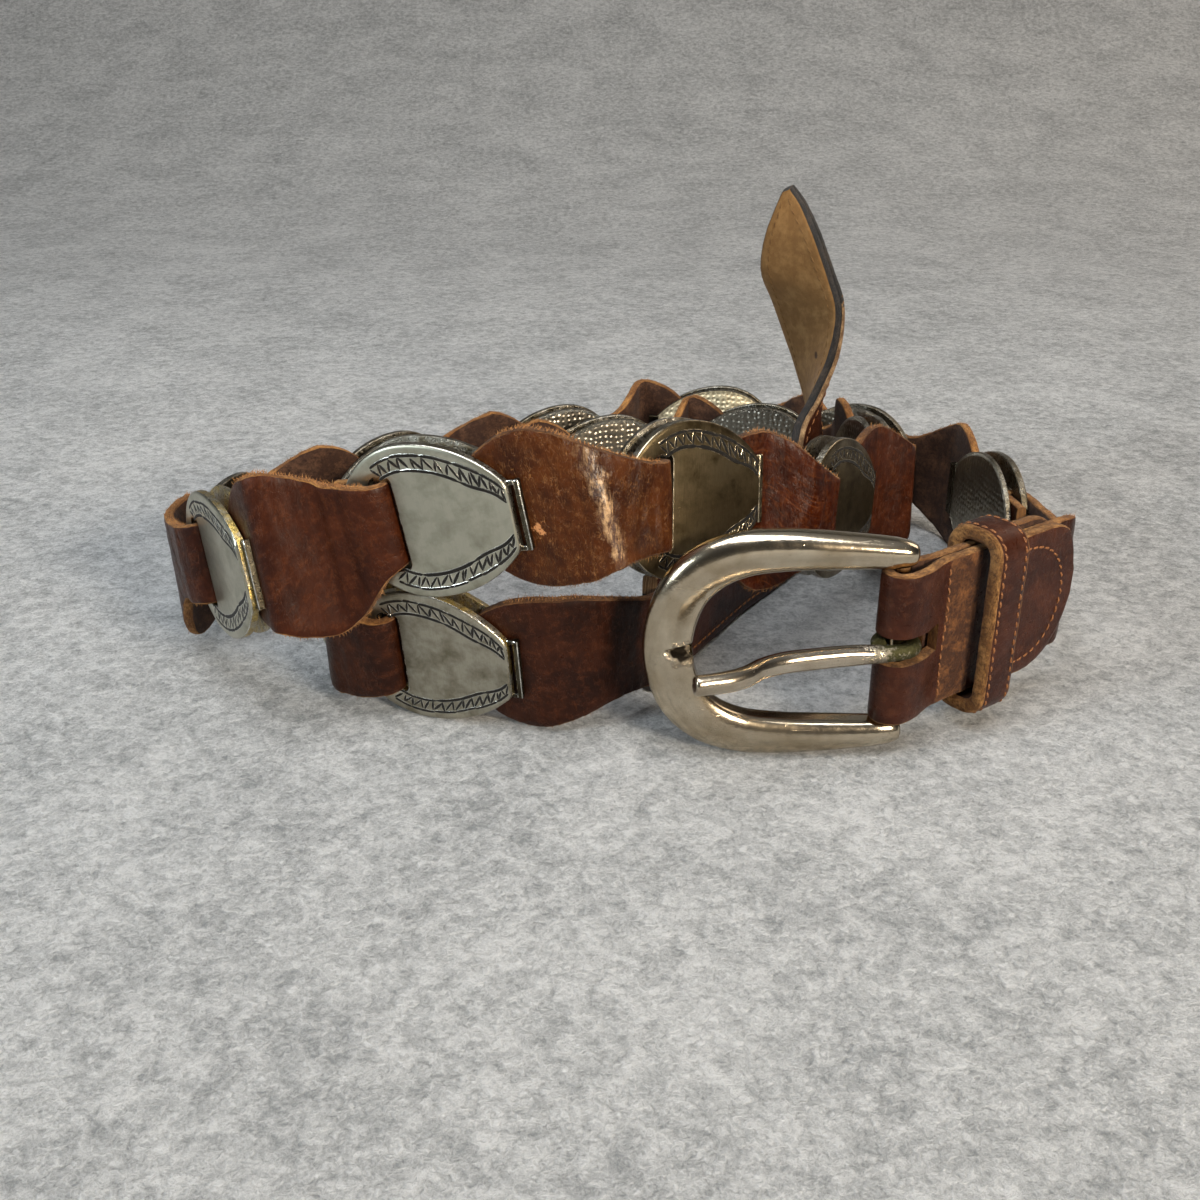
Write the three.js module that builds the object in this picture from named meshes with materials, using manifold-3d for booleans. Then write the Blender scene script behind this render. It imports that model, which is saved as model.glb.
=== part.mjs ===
// A link belt with a horseshoe buckle, standing on its lower edge in a loose coil of about two turns.
// Metal plates and leather links alternate from the buckle's tab to the pointed strap at the other end.
// Millimetres, +Z up, the floor at z = 0. From the side of the buckle, +X is right and +Y is away.

import * as THREE from "three";
import { mergeVertices } from "three/addons/utils/BufferGeometryUtils.js";
import Module from "manifold-3d";

// Where the middle of the belt's footprint lies in the frame that the tables below use.
const MIDDLE = { x: -4.02, y: -6.63 };

// The metal plates
const PLATE_LENGTH = 34;
const PLATE_ROUND = 15;           // radius of the slot end, half the plate's height
const PLATE_EDGE = 12.4;          // height of the straight end
const FRONT_THICK = 1.9;
const BACK_THICK = 1.5;
const SANDWICH = 2.8;             // room between the two plates for the leather
const SLOT = { from: -9.6, to: -5.3, height: 18.4 };
const WEB = { from: 17.9, to: 18.9, height: 13.4, lug: 0.9 };

// The leather links
const LEATHER = 2.2;
const GAP = 0.3;                  // between neighbours
const LINK_HEIGHT = 33;
const LINK_NECK = 16.4;           // height where a link folds through a slot
const LINK_STARTS = [5.5, 6.3, 8, 11.5];   // stations from where a link begins inside its first plate
const LINK_STEPS = 8;
const NARROWS = { from: 23.3, to: 2.3 };    // how far before the slot a link narrows to its neck
const FLAP_END = -18.2;           // where the folded end stops behind the plate

// Links that lie askew in their plates. Each row is a length along the link, then how far its lower
// and its upper edge are from the middle of the belt there.
const ASKEW = {
  7: [[0, 16.5, 16.5], [14, 16.3, 16.3], [20, 12.4, 12.4], [27, 8.2, 8.2], [60, 8.2, 8.2]],
  8: [[0, 10.5, 17.5], [14, 11, 18], [16, 12, 18.2], [18.3, 14.6, 17.3], [21, 16.5, 15.3],
    [24, 18.4, 13.2], [27, 19.9, 11.1], [30, 20, 9.5], [33, 18.6, 9], [36.4, 13.8, 8.8],
    [39.2, 10, 8.4], [40.6, 8.2, 8.2], [60, 8.2, 8]],
  9: [[0, 12, 17], [6, 14.2, 15.5], [14, 14.8, 15.5], [16.5, 14.5, 15.3], [20.5, 13.5, 14.2],
    [22.5, 12.9, 13.4], [25, 12, 12.3], [27.3, 10.7, 11.5], [30, 9.6, 10.6], [33, 8.9, 9.6],
    [37, 8.2, 8.6], [60, 8.2, 8.2]],
  10: [[0, 19, 13], [14, 21.5, 11.1], [17, 20.6, 11.1], [20, 18.2, 11.9], [22.4, 15.5, 12.3],
    [25, 12.6, 12.3], [27.3, 10.3, 11.7], [29, 9.3, 10.8], [33, 8.7, 9], [37, 8.5, 7.5],
    [60, 8.5, 7.5]],
  16: [[0, 16, 16], [12, 14.8, 15], [15, 13, 14], [18, 11, 12], [22, 10.4, 10.5], [27, 10.4, 9.5],
    [31, 9.4, 9], [36, 8.3, 8.4], [60, 8.2, 8.2]],
  17: [[0, 15, 14.5], [6, 15, 14.5], [17, 14.3, 15.5], [19.6, 13.4, 15.6], [24.3, 11.7, 15.2],
    [29.4, 9.6, 14.2], [34.9, 8.6, 12.6], [40.4, 8.8, 11], [46.6, 10, 10.5], [60, 10.5, 10.5]],
};

// Each row is one metal plate in order from the buckle: its middle, then in degrees the way that the
// belt runs through it, its climb, and the lean of its top towards the outside of the coil.
const PLATES = [
  { x: 85, y: 12.4, z: 16.6, heading: 97, climb: 0, lean: 0 },
  { x: 59.5, y: 53, z: 16.6, heading: 135, climb: 0, lean: 0 },
  { x: 23, y: 70.5, z: 16.6, heading: 170, climb: 0, lean: 0 },
  { x: -21, y: 51, z: 16.6, heading: 203, climb: 0, lean: 0 },
  { x: -62, y: 27, z: 16.6, heading: 218, climb: 0, lean: 0 },
  { x: -92, y: -9, z: 18, heading: 250, climb: 4, lean: 0 },
  { x: -82.5, y: -51, z: 30.5, heading: 304, climb: 14, lean: 2 },
  { x: -40.1, y: -65.5, z: 46, heading: 342, climb: 10, lean: 3 },
  { x: 5.5, y: -57, z: 46.3, heading: 38, climb: -6, lean: -8 },
  { x: 39, y: -25, z: 32.5, heading: 55, climb: -12, lean: -4 },
  { x: 55, y: 18, z: 24, heading: 97, climb: -8, lean: 0 },
  { x: 33, y: 52, z: 17, heading: 160, climb: 0, lean: 0 },
  { x: -8, y: 42, z: 16.6, heading: 196, climb: 0, lean: 0 },
  { x: -47, y: 17, z: 16.6, heading: 225, climb: 0, lean: 0 },
  { x: -64, y: -29, z: 16.6, heading: 270, climb: 0, lean: 0 },
  { x: -42.4, y: -59, z: 15.4, heading: 341, climb: 0, lean: 9 },
];

// The buckle, with its bar upright. Along the belt the bar is at 0 and the nose at the far left.
const BUCKLE = { x: 44.6, y: -72, z: 23.2, heading: 0, climb: 0, lean: 0 };
const BAR_RADIUS = 1.4;
// One arm of the frame from its end to the nose: the middle of the casting, then half its breadth in
// the plane of the frame and half its depth.
const ARM = [
  { s: 2.4, u: 18.0, breadth: 2.1, depth: 2.2 },
  { s: -2, u: 18.4, breadth: 2.8, depth: 2.8 },
  { s: -12, u: 18.9, breadth: 3.4, depth: 3.1 },
  { s: -22, u: 19.0, breadth: 3.9, depth: 3.1 },
  { s: -29, u: 18.2, breadth: 4.2, depth: 3.1 },
  { s: -35, u: 15.6, breadth: 4.5, depth: 3.0 },
  { s: -39.6, u: 10.6, breadth: 4.6, depth: 2.9 },
  { s: -42.2, u: 0, breadth: 4.6, depth: 2.7 },
];
const NOTCH = { radius: 2.3, rise: 3.7, from: -43.5, to: -30 };
const ROD_SIDES = 10;             // sides of the frame, the bar and the tongue
const FRAME_STEPS = 30;

// The tongue, a wire bent round the bar and stepped over the nose, at rest a little open.
const TONGUE_OPEN = 14;           // degrees from the plane of the frame
const TONGUE_LOOP = 3.2;          // from the middle of the bar to the middle of the wire
const TONGUE_WIRE = 1.45;         // radius of the wire round the bar
const TONGUE = [
  { s: -3, n: 3.1, radius: 1.6 },
  { s: -8, n: 2.4, radius: 1.9 },
  { s: -16, n: 1.9, radius: 2.0 },
  { s: -23, n: 2.0, radius: 2.0 },
  { s: -27.5, n: 3.2, radius: 1.95 },
  { s: -31, n: 5.2, radius: 1.95 },
  { s: -34.5, n: 6.2, radius: 2.0 },
  { s: -41, n: 6.4, radius: 2.0 },
];

// The tab, folded round the bar and sewn, and the keeper on it
const TAB = { heading: 36.5, length: 48, half: 15.2, hole: 1.8, sewn: 10 };
const TAB_LINK = { parts: 26.4, opens: 31.4, from: 32 };   // where the tab takes the first link
const TAB_SECTIONS = [48, 46.6, 44.2, 40.8, 37.4, 34, 31.4, 29, 26.4, 10, 6, 3];
const TAB_SLOT = { to: 8.6, height: 5.8 };
const KEEPER = { from: 18, to: 26.4, half: 19.2, front: 7.6, back: -5.1, corner: 5, thick: 2.2 };

// The pointed strap, each row the two edges of one section from where it is sewn to its point.
const STRAP_THICK = 3.4;
const STRAP_STEPS = 42;
const STRAP = [
  { low: [0, -48.5, 0.5], high: [0, -48.5, 26.5] },
  { low: [10.6, -30, 0.3], high: [10.6, -30, 26.3] },
  { low: [23, -9, 0.3], high: [23, -9, 26.3] },
  { low: [33, 5.5, 0.3], high: [32.5, 5.5, 26.4] },
  { low: [40, 15.5, 3.5], high: [35.8, 10, 29.5] },
  { low: [44.4, 25.7, 15.6], high: [37.9, 14, 37.9] },
  { low: [45.5, 37.5, 31], high: [41.3, 16, 44] },
  { low: [41, 40, 46], high: [45.2, 17, 53.9] },
  { low: [37.4, 38, 54.5], high: [46.2, 17, 61.2] },
  { low: [32.9, 34, 64.5], high: [45.7, 16.5, 67.3] },
  { low: [29.4, 30, 71.5], high: [43.6, 17, 73] },
  { low: [28.8, 27.5, 77], high: [39.8, 17, 82] },
  { low: [29.5, 24, 84], high: [36.3, 19, 89] },
  { low: [31.6, 21, 91.5], high: [33.6, 20, 92.5] },
];
// Where the last link meets the strap, on the strap's outer side, and how far it runs along it.
const STRAP_JOIN = { x: 2.7, y: -50, z: 14, heading: 60.2, climb: 0, lean: 0, run: 9 };

const MATERIALS = {
  leather: new THREE.MeshStandardMaterial({ color: 0x6b3523, roughness: 0.55, metalness: 0 }),
  tabLeather: new THREE.MeshStandardMaterial({ color: 0x4f2a22, roughness: 0.5, metalness: 0 }),
  plate: new THREE.MeshStandardMaterial({ color: 0x9b9a94, roughness: 0.35, metalness: 1 }),
  buckle: new THREE.MeshStandardMaterial({ color: 0xb9b1a6, roughness: 0.25, metalness: 1 }),
};

const wasm = await Module();
wasm.setup();

const vector = (x, y, z) => new THREE.Vector3(x, y, z);
const radians = THREE.MathUtils.degToRad;
const NOWHERE = vector(0, 0, 0);

// A closed geometry as a solid that can be joined and cut.
function solidOf(geometry) {
  const bare = geometry.index ? geometry.toNonIndexed() : geometry.clone();
  for (const name of Object.keys(bare.attributes)) {
    if (name !== "position") bare.deleteAttribute(name);
  }
  const merged = mergeVertices(bare, 1e-4);
  return new wasm.Manifold(new wasm.Mesh({
    numProp: 3,
    vertProperties: new Float32Array(merged.attributes.position.array),
    triVerts: new Uint32Array(merged.index.array),
  }));
}

function geometryOf(solid) {
  const mesh = solid.getMesh();
  const geometry = new THREE.BufferGeometry();
  geometry.setAttribute("position", new THREE.BufferAttribute(new Float32Array(mesh.vertProperties), 3));
  geometry.setIndex(new THREE.BufferAttribute(new Uint32Array(mesh.triVerts), 1));
  geometry.computeVertexNormals();
  return geometry;
}

// A solid through a row of rings with equal numbers of points, each ring turning the same way.
function loft(rings) {
  const sides = rings[0].length;
  const points = rings.flat();
  const triangles = [];
  for (let r = 0; r + 1 < rings.length; r++) {
    for (let i = 0; i < sides; i++) {
      const a = r * sides + i;
      const b = r * sides + (i + 1) % sides;
      triangles.push(a, b, b + sides, a, b + sides, a + sides);
    }
  }
  const last = (rings.length - 1) * sides;
  for (let i = 1; i + 1 < sides; i++) {
    triangles.push(0, i + 1, i);
    triangles.push(last, last + i, last + i + 1);
  }
  const geometry = new THREE.BufferGeometry();
  geometry.setAttribute("position", new THREE.Float32BufferAttribute(points.flatMap((p) => p.toArray()), 3));
  geometry.setIndex(triangles);
  return geometry;
}

// A frame of three directions at a point: along the belt, up its height and out of its outer face.
function poseOf({ x, y, z, heading, climb, lean }) {
  const h = radians(heading);
  const c = radians(climb);
  const l = radians(lean);
  const along = vector(Math.cos(h) * Math.cos(c), Math.sin(h) * Math.cos(c), Math.sin(c));
  const level = vector(Math.sin(h), -Math.cos(h), 0);
  const upright = level.clone().cross(along);
  const up = sum(NOWHERE, [upright, Math.cos(l)], [level, Math.sin(l)]);
  const out = along.clone().cross(up);
  return { at: vector(x, y, z), along, up, out };
}

function sum(start, ...terms) {
  const point = start.clone();
  for (const [direction, length] of terms) point.addScaledVector(direction, length);
  return point;
}

function pointIn(pose, s, u, n) {
  return sum(pose.at, [pose.along, s], [pose.up, u], [pose.out, n]);
}

// Turns a geometry made with X along, Y up and Z out into its place in a pose.
function placeIn(pose, geometry) {
  const matrix = new THREE.Matrix4().makeBasis(pose.along, pose.up, pose.out).setPosition(pose.at);
  return geometry.applyMatrix4(matrix);
}

function boxOf(s, u, n) {
  const box = new THREE.BoxGeometry(s[1] - s[0], u[1] - u[0], n[1] - n[0]);
  return box.translate((s[0] + s[1]) / 2, (u[0] + u[1]) / 2, (n[0] + n[1]) / 2);
}

// The plate's outline: a round slot end, two long arcs and a straight end.
function plateOutline() {
  const end = PLATE_LENGTH / 2;
  const middle = PLATE_ROUND - end;
  const half = PLATE_EDGE / 2;
  const drop = PLATE_ROUND - half;
  const run = end - middle;
  const radius = (run * run + drop * drop) / (2 * drop);
  const sweep = Math.asin(run / radius);
  const shape = new THREE.Shape();
  shape.moveTo(end, -half);
  shape.lineTo(end, half);
  shape.absarc(middle, PLATE_ROUND - radius, radius, Math.PI / 2 - sweep, Math.PI / 2, false);
  shape.absarc(middle, 0, PLATE_ROUND, Math.PI / 2, 1.5 * Math.PI, false);
  shape.absarc(middle, radius - PLATE_ROUND, radius, 1.5 * Math.PI, 1.5 * Math.PI + sweep, false);
  return shape;
}

const SANDWICH_FACE = SANDWICH / 2;
// How far the middle of the leather stands off when it passes over a front plate.
const OVER = SANDWICH_FACE + FRONT_THICK + GAP + LEATHER / 2;

function metalPlate(pose) {
  const front = plateOutline();
  const slot = new THREE.Path();
  slot.moveTo(SLOT.from, -SLOT.height / 2);
  slot.lineTo(SLOT.from, SLOT.height / 2);
  slot.lineTo(SLOT.to, SLOT.height / 2);
  slot.lineTo(SLOT.to, -SLOT.height / 2);
  slot.closePath();
  front.holes.push(slot);
  const settings = { bevelEnabled: false, curveSegments: 4, steps: 1 };
  const frontPlate = new THREE.ExtrudeGeometry(front, { ...settings, depth: FRONT_THICK });
  frontPlate.translate(0, 0, SANDWICH_FACE);
  const backPlate = new THREE.ExtrudeGeometry(plateOutline(), { ...settings, depth: BACK_THICK });
  backPlate.translate(0, 0, -SANDWICH_FACE - BACK_THICK);
  const half = WEB.height / 2;
  const end = PLATE_LENGTH / 2;
  const bar = boxOf([WEB.from, WEB.to], [-half, half], [-SANDWICH_FACE - BACK_THICK, SANDWICH_FACE + 0.9]);
  const foot = boxOf([end - 1, WEB.to], [-half, half], [-SANDWICH_FACE - BACK_THICK, -SANDWICH_FACE - 0.4]);
  let solid = solidOf(frontPlate).add(solidOf(backPlate)).add(solidOf(bar)).add(solidOf(foot));
  for (const side of [-1, 1]) {
    const inner = side * half;
    const outer = side * (half - WEB.lug);
    const heights = [Math.min(inner, outer), Math.max(inner, outer)];
    const lug = boxOf([end - 1, WEB.to], heights, [SANDWICH_FACE + 0.2, SANDWICH_FACE + 0.9]);
    solid = solid.add(solidOf(lug));
  }
  return placeIn(pose, geometryOf(solid));
}

// The heights of a link's edges at a length along it: a round wide start that narrows to the neck.
function linkHeights(length, slotAt, rows) {
  const radius = LINK_HEIGHT / 2;
  const short = radius - Math.min(length, radius);
  const round = Math.max(Math.sqrt(radius * radius - short * short), 3);
  if (rows === undefined) {
    const share = THREE.MathUtils.smoothstep(length, slotAt - NARROWS.from, slotAt - NARROWS.to);
    return evenHeights(Math.min(round, THREE.MathUtils.lerp(radius, LINK_NECK / 2, share)));
  }
  const next = Math.max(rows.findIndex(([at]) => at > length), 1);
  const [from, lowFrom, highFrom] = rows[next - 1];
  const [to, lowTo, highTo] = rows[next];
  const share = (length - from) / (to - from);
  return {
    low: THREE.MathUtils.lerp(lowFrom, lowTo, share) * round / radius,
    high: THREE.MathUtils.lerp(highFrom, highTo, share) * round / radius,
  };
}

// The stretch of a link between two places, as stations: each a point with the directions up and out.
// Its edges stay level with the two places, so that a climb leans its ends instead of twisting it.
function stretch(from, to, leaving, arriving) {
  const curve = new THREE.CubicBezierCurve3(
    from.at,
    from.at.clone().addScaledVector(from.along, leaving),
    to.at.clone().addScaledVector(to.along, -arriving),
    to.at,
  );
  return Array.from({ length: LINK_STEPS + 1 }, (_, i) => {
    const share = i / LINK_STEPS;
    const up = from.up.clone().lerp(to.up, share).normalize();
    return { point: curve.getPoint(share), up, out: curve.getTangent(share).cross(up).normalize() };
  });
}

// The stretch with handles that get shorter the more the belt turns.
function freeStretch(from, to) {
  const chord = to.at.clone().sub(from.at);
  const span = chord.length();
  chord.normalize();
  const reach = (along) => span * (0.16 + 0.24 * Math.max(0, along.dot(chord)));
  return stretch(from, to, reach(from.along), reach(to.along));
}

const moved = (pose, s, n) => ({ ...pose, at: pointIn(pose, s, 0, n) });
const beforeSlot = (pose) => moved(pose, -PLATE_LENGTH / 2 - 1.5, OVER);
const stationAt = (pose, s) => ({ point: pointIn(pose, s, 0, 0), up: pose.up, out: pose.out });
const startStations = (pose) => LINK_STARTS.map((s) => stationAt(pose, s));

const FOLD_ANGLES = [90, 60, 30, 0, -30, -60, -90];

// A link from where it lies over a plate, through its slot, to the folded end behind it.
function foldStations(pose) {
  const radius = OVER / 2;
  const turn = SLOT.from + 0.1;
  const stations = [stationAt(moved(pose, -PLATE_ROUND + 1, OVER), 0)];
  for (const angle of FOLD_ANGLES) {
    const a = radians(angle);
    const point = pointIn(pose, turn + radius * Math.cos(a), 0, radius + radius * Math.sin(a));
    const out = sum(NOWHERE, [pose.out, Math.sin(a)], [pose.along, Math.cos(a)]);
    stations.push({ point, up: pose.up, out });
  }
  const inward = pose.out.clone().negate();
  stations.push({ point: pointIn(pose, FLAP_END, 0, 0), up: pose.up, out: inward });
  return stations;
}

// Sections of a strap as rings of four corners. Each height is { low, high } measured from the middle.
function ribbon(stations, heights, thick) {
  return loft(stations.map(({ point, up, out }, i) =>
    [[heights[i].high, 1], [-heights[i].low, 1], [-heights[i].low, -1], [heights[i].high, -1]].map(
      ([side, face]) => sum(point, [up, side], [out, face * thick / 2]))));
}

const evenHeights = (half) => ({ low: half, high: half });

function lengthsAlong(stations) {
  const lengths = [0];
  for (let i = 1; i < stations.length; i++) {
    lengths.push(lengths[i - 1] + stations[i].point.distanceTo(stations[i - 1].point));
  }
  return lengths;
}

function slitFor(pose) {
  const half = WEB.height / 2 + GAP;
  const cut = boxOf([WEB.from - GAP, WEB.to + GAP], [-half, half], [-LEATHER, LEATHER]);
  return solidOf(placeIn(pose, cut));
}

function leatherLink(from, to, rows) {
  const free = freeStretch(moved(from, WEB.to + 0.8, 0), beforeSlot(to));
  const stations = [...startStations(from), ...free, ...foldStations(to)];
  const lengths = lengthsAlong(stations);
  const slotAt = lengths[lengths.length - 1 - FOLD_ANGLES.length];
  const heights = lengths.map((length) => linkHeights(length, slotAt, rows));
  return geometryOf(solidOf(ribbon(stations, heights, LEATHER)).subtract(slitFor(from)));
}

// The first link starts between the two layers of the tab.
function firstLink(tab, to) {
  const free = stretch(moved(tab, TAB.length + 0.5, 0), beforeSlot(to), 4, 8);
  const stations = [stationAt(tab, TAB_LINK.from), ...free, ...foldStations(to)];
  const heights = lengthsAlong(stations).map((length) => {
    const share = THREE.MathUtils.smoothstep(length, 14, 44);
    return evenHeights(THREE.MathUtils.lerp(TAB.half - 1, LINK_NECK / 2, share));
  });
  return geometryOf(solidOf(ribbon(stations, heights, LEATHER)));
}

// The last link leaves the last metal plate and is sewn flat on the start of the strap.
function lastLink(from) {
  const join = poseOf(STRAP_JOIN);
  const free = stretch(moved(from, WEB.to + 0.8, 0), join, 10, 10);
  const stations = [...startStations(from), ...free, stationAt(join, STRAP_JOIN.run)];
  const heights = lengthsAlong(stations).map((length) => linkHeights(length, 0, ASKEW[17]));
  return geometryOf(solidOf(ribbon(stations, heights, LEATHER)).subtract(slitFor(from)));
}

function turned(pose, degrees) {
  const turn = radians(degrees);
  const along = sum(NOWHERE, [pose.along, Math.cos(turn)], [pose.out, -Math.sin(turn)]);
  return { at: pose.at.clone(), along, up: pose.up.clone(), out: along.clone().cross(pose.up) };
}

// A ring of points round a place on a path, round or oval: side and depth are its two half widths.
function ovalRing(centre, sideways, side, outward, depth, points) {
  return Array.from({ length: points }, (_, i) => {
    const a = (2 * Math.PI * i) / points;
    return sum(centre, [sideways, side * Math.cos(a)], [outward, depth * Math.sin(a)]);
  });
}

function buckleFrame(pose) {
  const mirrored = ARM.slice(0, -1).reverse().map((row) => ({ ...row, u: -row.u }));
  const rows = ARM.concat(mirrored);
  const middle = new THREE.CatmullRomCurve3(rows.map((row) => vector(row.s, row.u, 0)), false, "centripetal");
  const halves = new THREE.CatmullRomCurve3(rows.map((row) => vector(row.breadth, row.depth, 0)));
  const rings = [];
  for (let i = 0; i <= FRAME_STEPS; i++) {
    const share = i / FRAME_STEPS;
    const point = middle.getPoint(share);
    const tangent = middle.getTangent(share);
    const half = halves.getPoint(share);
    const sideways = vector(-tangent.y, tangent.x, 0);
    rings.push(ovalRing(point, sideways, half.x, vector(0, 0, 1), half.y, ROD_SIDES));
  }
  const bar = new THREE.CylinderGeometry(BAR_RADIUS, BAR_RADIUS, 2 * ARM[1].u, ROD_SIDES);
  const groove = new THREE.CylinderGeometry(NOTCH.radius, NOTCH.radius, NOTCH.to - NOTCH.from, ROD_SIDES);
  groove.rotateZ(Math.PI / 2).translate((NOTCH.from + NOTCH.to) / 2, 0, NOTCH.rise);
  const solid = solidOf(loft(rings)).add(solidOf(bar)).subtract(solidOf(groove));
  return placeIn(pose, geometryOf(solid));
}

function buckleTongue(pose) {
  const stops = [];
  for (let angle = 262; angle >= 0; angle -= 26.2) {
    const a = radians(angle);
    stops.push({ s: TONGUE_LOOP * Math.sin(a), n: TONGUE_LOOP * Math.cos(a), radius: TONGUE_WIRE });
  }
  stops.push(...TONGUE);
  const points = stops.map((stop) => vector(stop.s, 0, stop.n));
  const rings = points.map((point, i) => {
    const before = points[Math.max(i - 1, 0)];
    const after = points[Math.min(i + 1, points.length - 1)];
    const tangent = after.clone().sub(before).normalize();
    const outward = vector(-tangent.z, 0, tangent.x);
    return ovalRing(point, vector(0, 1, 0), stops[i].radius, outward, stops[i].radius, ROD_SIDES);
  });
  return placeIn(turned(pose, TONGUE_OPEN), loft(rings));
}

// How far the inner face of each layer of the tab stands from its middle plane.
function tabInner(s) {
  const near = THREE.MathUtils.smoothstep(s, 2, TAB.sewn);
  const far = THREE.MathUtils.smoothstep(s, TAB_LINK.parts, TAB_LINK.opens);
  return TAB.hole - near * (TAB.hole - GAP / 2) + far * (LEATHER + GAP) / 2;
}

// The heights of the tab at a place along it: level as far as the keeper, then a rounded end.
function tabHeights(s) {
  const start = TAB.length - 13;
  const left = Math.max(s - start, 0) / 13;
  const low = TAB.half * Math.sqrt(Math.max(1 - left * left, 0.02));
  const high = TAB.half * Math.sqrt(Math.max(1 - left ** 5, 0.1));
  return { low, high };
}

function buckleTab(tab) {
  const layer = (face) => TAB_SECTIONS.map((s) => ({
    s,
    point: pointIn(tab, s, 0, face * (tabInner(s) + LEATHER / 2)),
    up: tab.up,
    out: tab.out.clone().multiplyScalar(face),
  }));
  const bend = [90, 60, 30, 0, -30, -60, -90].map((angle) => {
    const a = radians(angle);
    const radius = TAB.hole + LEATHER / 2;
    return {
      s: 0,
      point: pointIn(tab, -radius * Math.cos(a), 0, radius * Math.sin(a)),
      up: tab.up,
      out: sum(NOWHERE, [tab.out, Math.sin(a)], [tab.along, -Math.cos(a)]),
    };
  });
  const stations = [...layer(1), ...bend, ...layer(-1).reverse()];
  const strap = ribbon(stations, stations.map(({ s }) => tabHeights(s)), LEATHER);
  strap.index.array.reverse();
  const half = TAB_SLOT.height / 2;
  const slot = boxOf([-10, TAB_SLOT.to], [-half, half], [-10, 10]);
  return geometryOf(solidOf(strap).subtract(solidOf(placeIn(tab, slot))));
}

function roundedLoop(half, front, back, corner) {
  const shape = new THREE.Shape();
  shape.moveTo(back + corner, -half);
  shape.lineTo(front - corner, -half);
  shape.absarc(front - corner, corner - half, corner, -Math.PI / 2, 0, false);
  shape.absarc(front - corner, half - corner, corner, 0, Math.PI / 2, false);
  shape.absarc(back + corner, half - corner, corner, Math.PI / 2, Math.PI, false);
  shape.absarc(back + corner, corner - half, corner, Math.PI, 1.5 * Math.PI, false);
  return shape;
}

function keeperLoop(tab) {
  const { from, to, half, front, back, corner, thick } = KEEPER;
  const outline = roundedLoop(half, front, back, corner);
  const inner = roundedLoop(half - thick, front - thick, back + thick, corner - thick);
  outline.holes.push(new THREE.Path(inner.getPoints(4)));
  const settings = { bevelEnabled: false, curveSegments: 4, depth: to - from };
  const ring = new THREE.ExtrudeGeometry(outline, settings);
  ring.applyMatrix4(new THREE.Matrix4().makeBasis(vector(0, 0, 1), vector(0, 1, 0), vector(-1, 0, 0)));
  ring.translate(to, 0, 0);
  return placeIn(tab, geometryOf(solidOf(ring)));
}

function tipStrap() {
  const middles = new THREE.CatmullRomCurve3(STRAP.map(({ low, high }) =>
    vector(...low).lerp(vector(...high), 0.5)));
  const halves = new THREE.CatmullRomCurve3(STRAP.map(({ low, high }) =>
    vector(...high).sub(vector(...low)).multiplyScalar(0.5)));
  const steps = STRAP_STEPS;
  const rings = [];
  for (let i = 0; i <= steps; i++) {
    const share = i / steps;
    const point = middles.getPoint(share);
    const half = halves.getPoint(share);
    const out = middles.getTangent(share).cross(half).normalize().multiplyScalar(STRAP_THICK / 2);
    const top = point.clone().add(half);
    const foot = point.clone().sub(half);
    rings.push([top.clone().add(out), foot.clone().add(out), foot.clone().sub(out), top.clone().sub(out)]);
  }
  return loft(rings);
}

const belt = new THREE.Group();
belt.position.set(-MIDDLE.x, -MIDDLE.y, 0);

function piece(name, geometry, material) {
  const mesh = new THREE.Mesh(geometry, material);
  mesh.name = name;
  belt.add(mesh);
}

const numbered = (name, index) => `${name}_${String(index).padStart(2, "0")}`;
const poses = PLATES.map(poseOf);
const bucklePose = poseOf(BUCKLE);
const tabPose = poseOf({ ...BUCKLE, heading: TAB.heading });

piece("buckle_frame", buckleFrame(bucklePose), MATERIALS.buckle);
piece("buckle_tongue", buckleTongue(bucklePose), MATERIALS.buckle);
piece("buckle_tab", buckleTab(tabPose), MATERIALS.tabLeather);
piece("keeper", keeperLoop(tabPose), MATERIALS.tabLeather);
piece("link_01", firstLink(tabPose, poses[0]), MATERIALS.leather);
poses.forEach((pose, i) => {
  piece(numbered("plate", i + 1), metalPlate(pose), MATERIALS.plate);
  if (i === 0) return;
  const link = leatherLink(poses[i - 1], pose, ASKEW[i + 1]);
  piece(numbered("link", i + 1), link, MATERIALS.leather);
});
piece("link_17", lastLink(poses[15]), MATERIALS.leather);
piece("tip_strap", tipStrap(), MATERIALS.tabLeather);

export default belt;
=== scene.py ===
"""A link belt with a horseshoe buckle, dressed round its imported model. Tables and paths are in mm."""
import math

import bmesh
import bpy
import numpy as np
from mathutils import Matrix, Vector, noise


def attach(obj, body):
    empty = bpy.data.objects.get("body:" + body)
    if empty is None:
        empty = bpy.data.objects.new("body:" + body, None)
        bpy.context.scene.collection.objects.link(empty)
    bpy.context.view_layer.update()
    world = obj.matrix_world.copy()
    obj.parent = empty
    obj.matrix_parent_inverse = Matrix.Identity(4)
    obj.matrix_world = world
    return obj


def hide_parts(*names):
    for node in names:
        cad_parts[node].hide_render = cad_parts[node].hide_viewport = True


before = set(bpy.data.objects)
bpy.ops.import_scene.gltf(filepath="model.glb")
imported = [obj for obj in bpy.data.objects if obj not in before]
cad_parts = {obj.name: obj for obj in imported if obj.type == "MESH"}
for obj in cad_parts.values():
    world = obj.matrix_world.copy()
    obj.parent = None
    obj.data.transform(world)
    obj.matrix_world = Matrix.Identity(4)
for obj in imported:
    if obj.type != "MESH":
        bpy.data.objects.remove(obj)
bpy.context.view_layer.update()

MM = 0.001
SHIFT = np.array([4.02, 6.63, 0.0])   # from the frame of the tables to the model's frame
FLOOR_GAP = 0.02                      # nothing of the belt lies lower
WELD = 0.004                          # points closer than this are one
UV_PER_MM = 0.01

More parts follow.
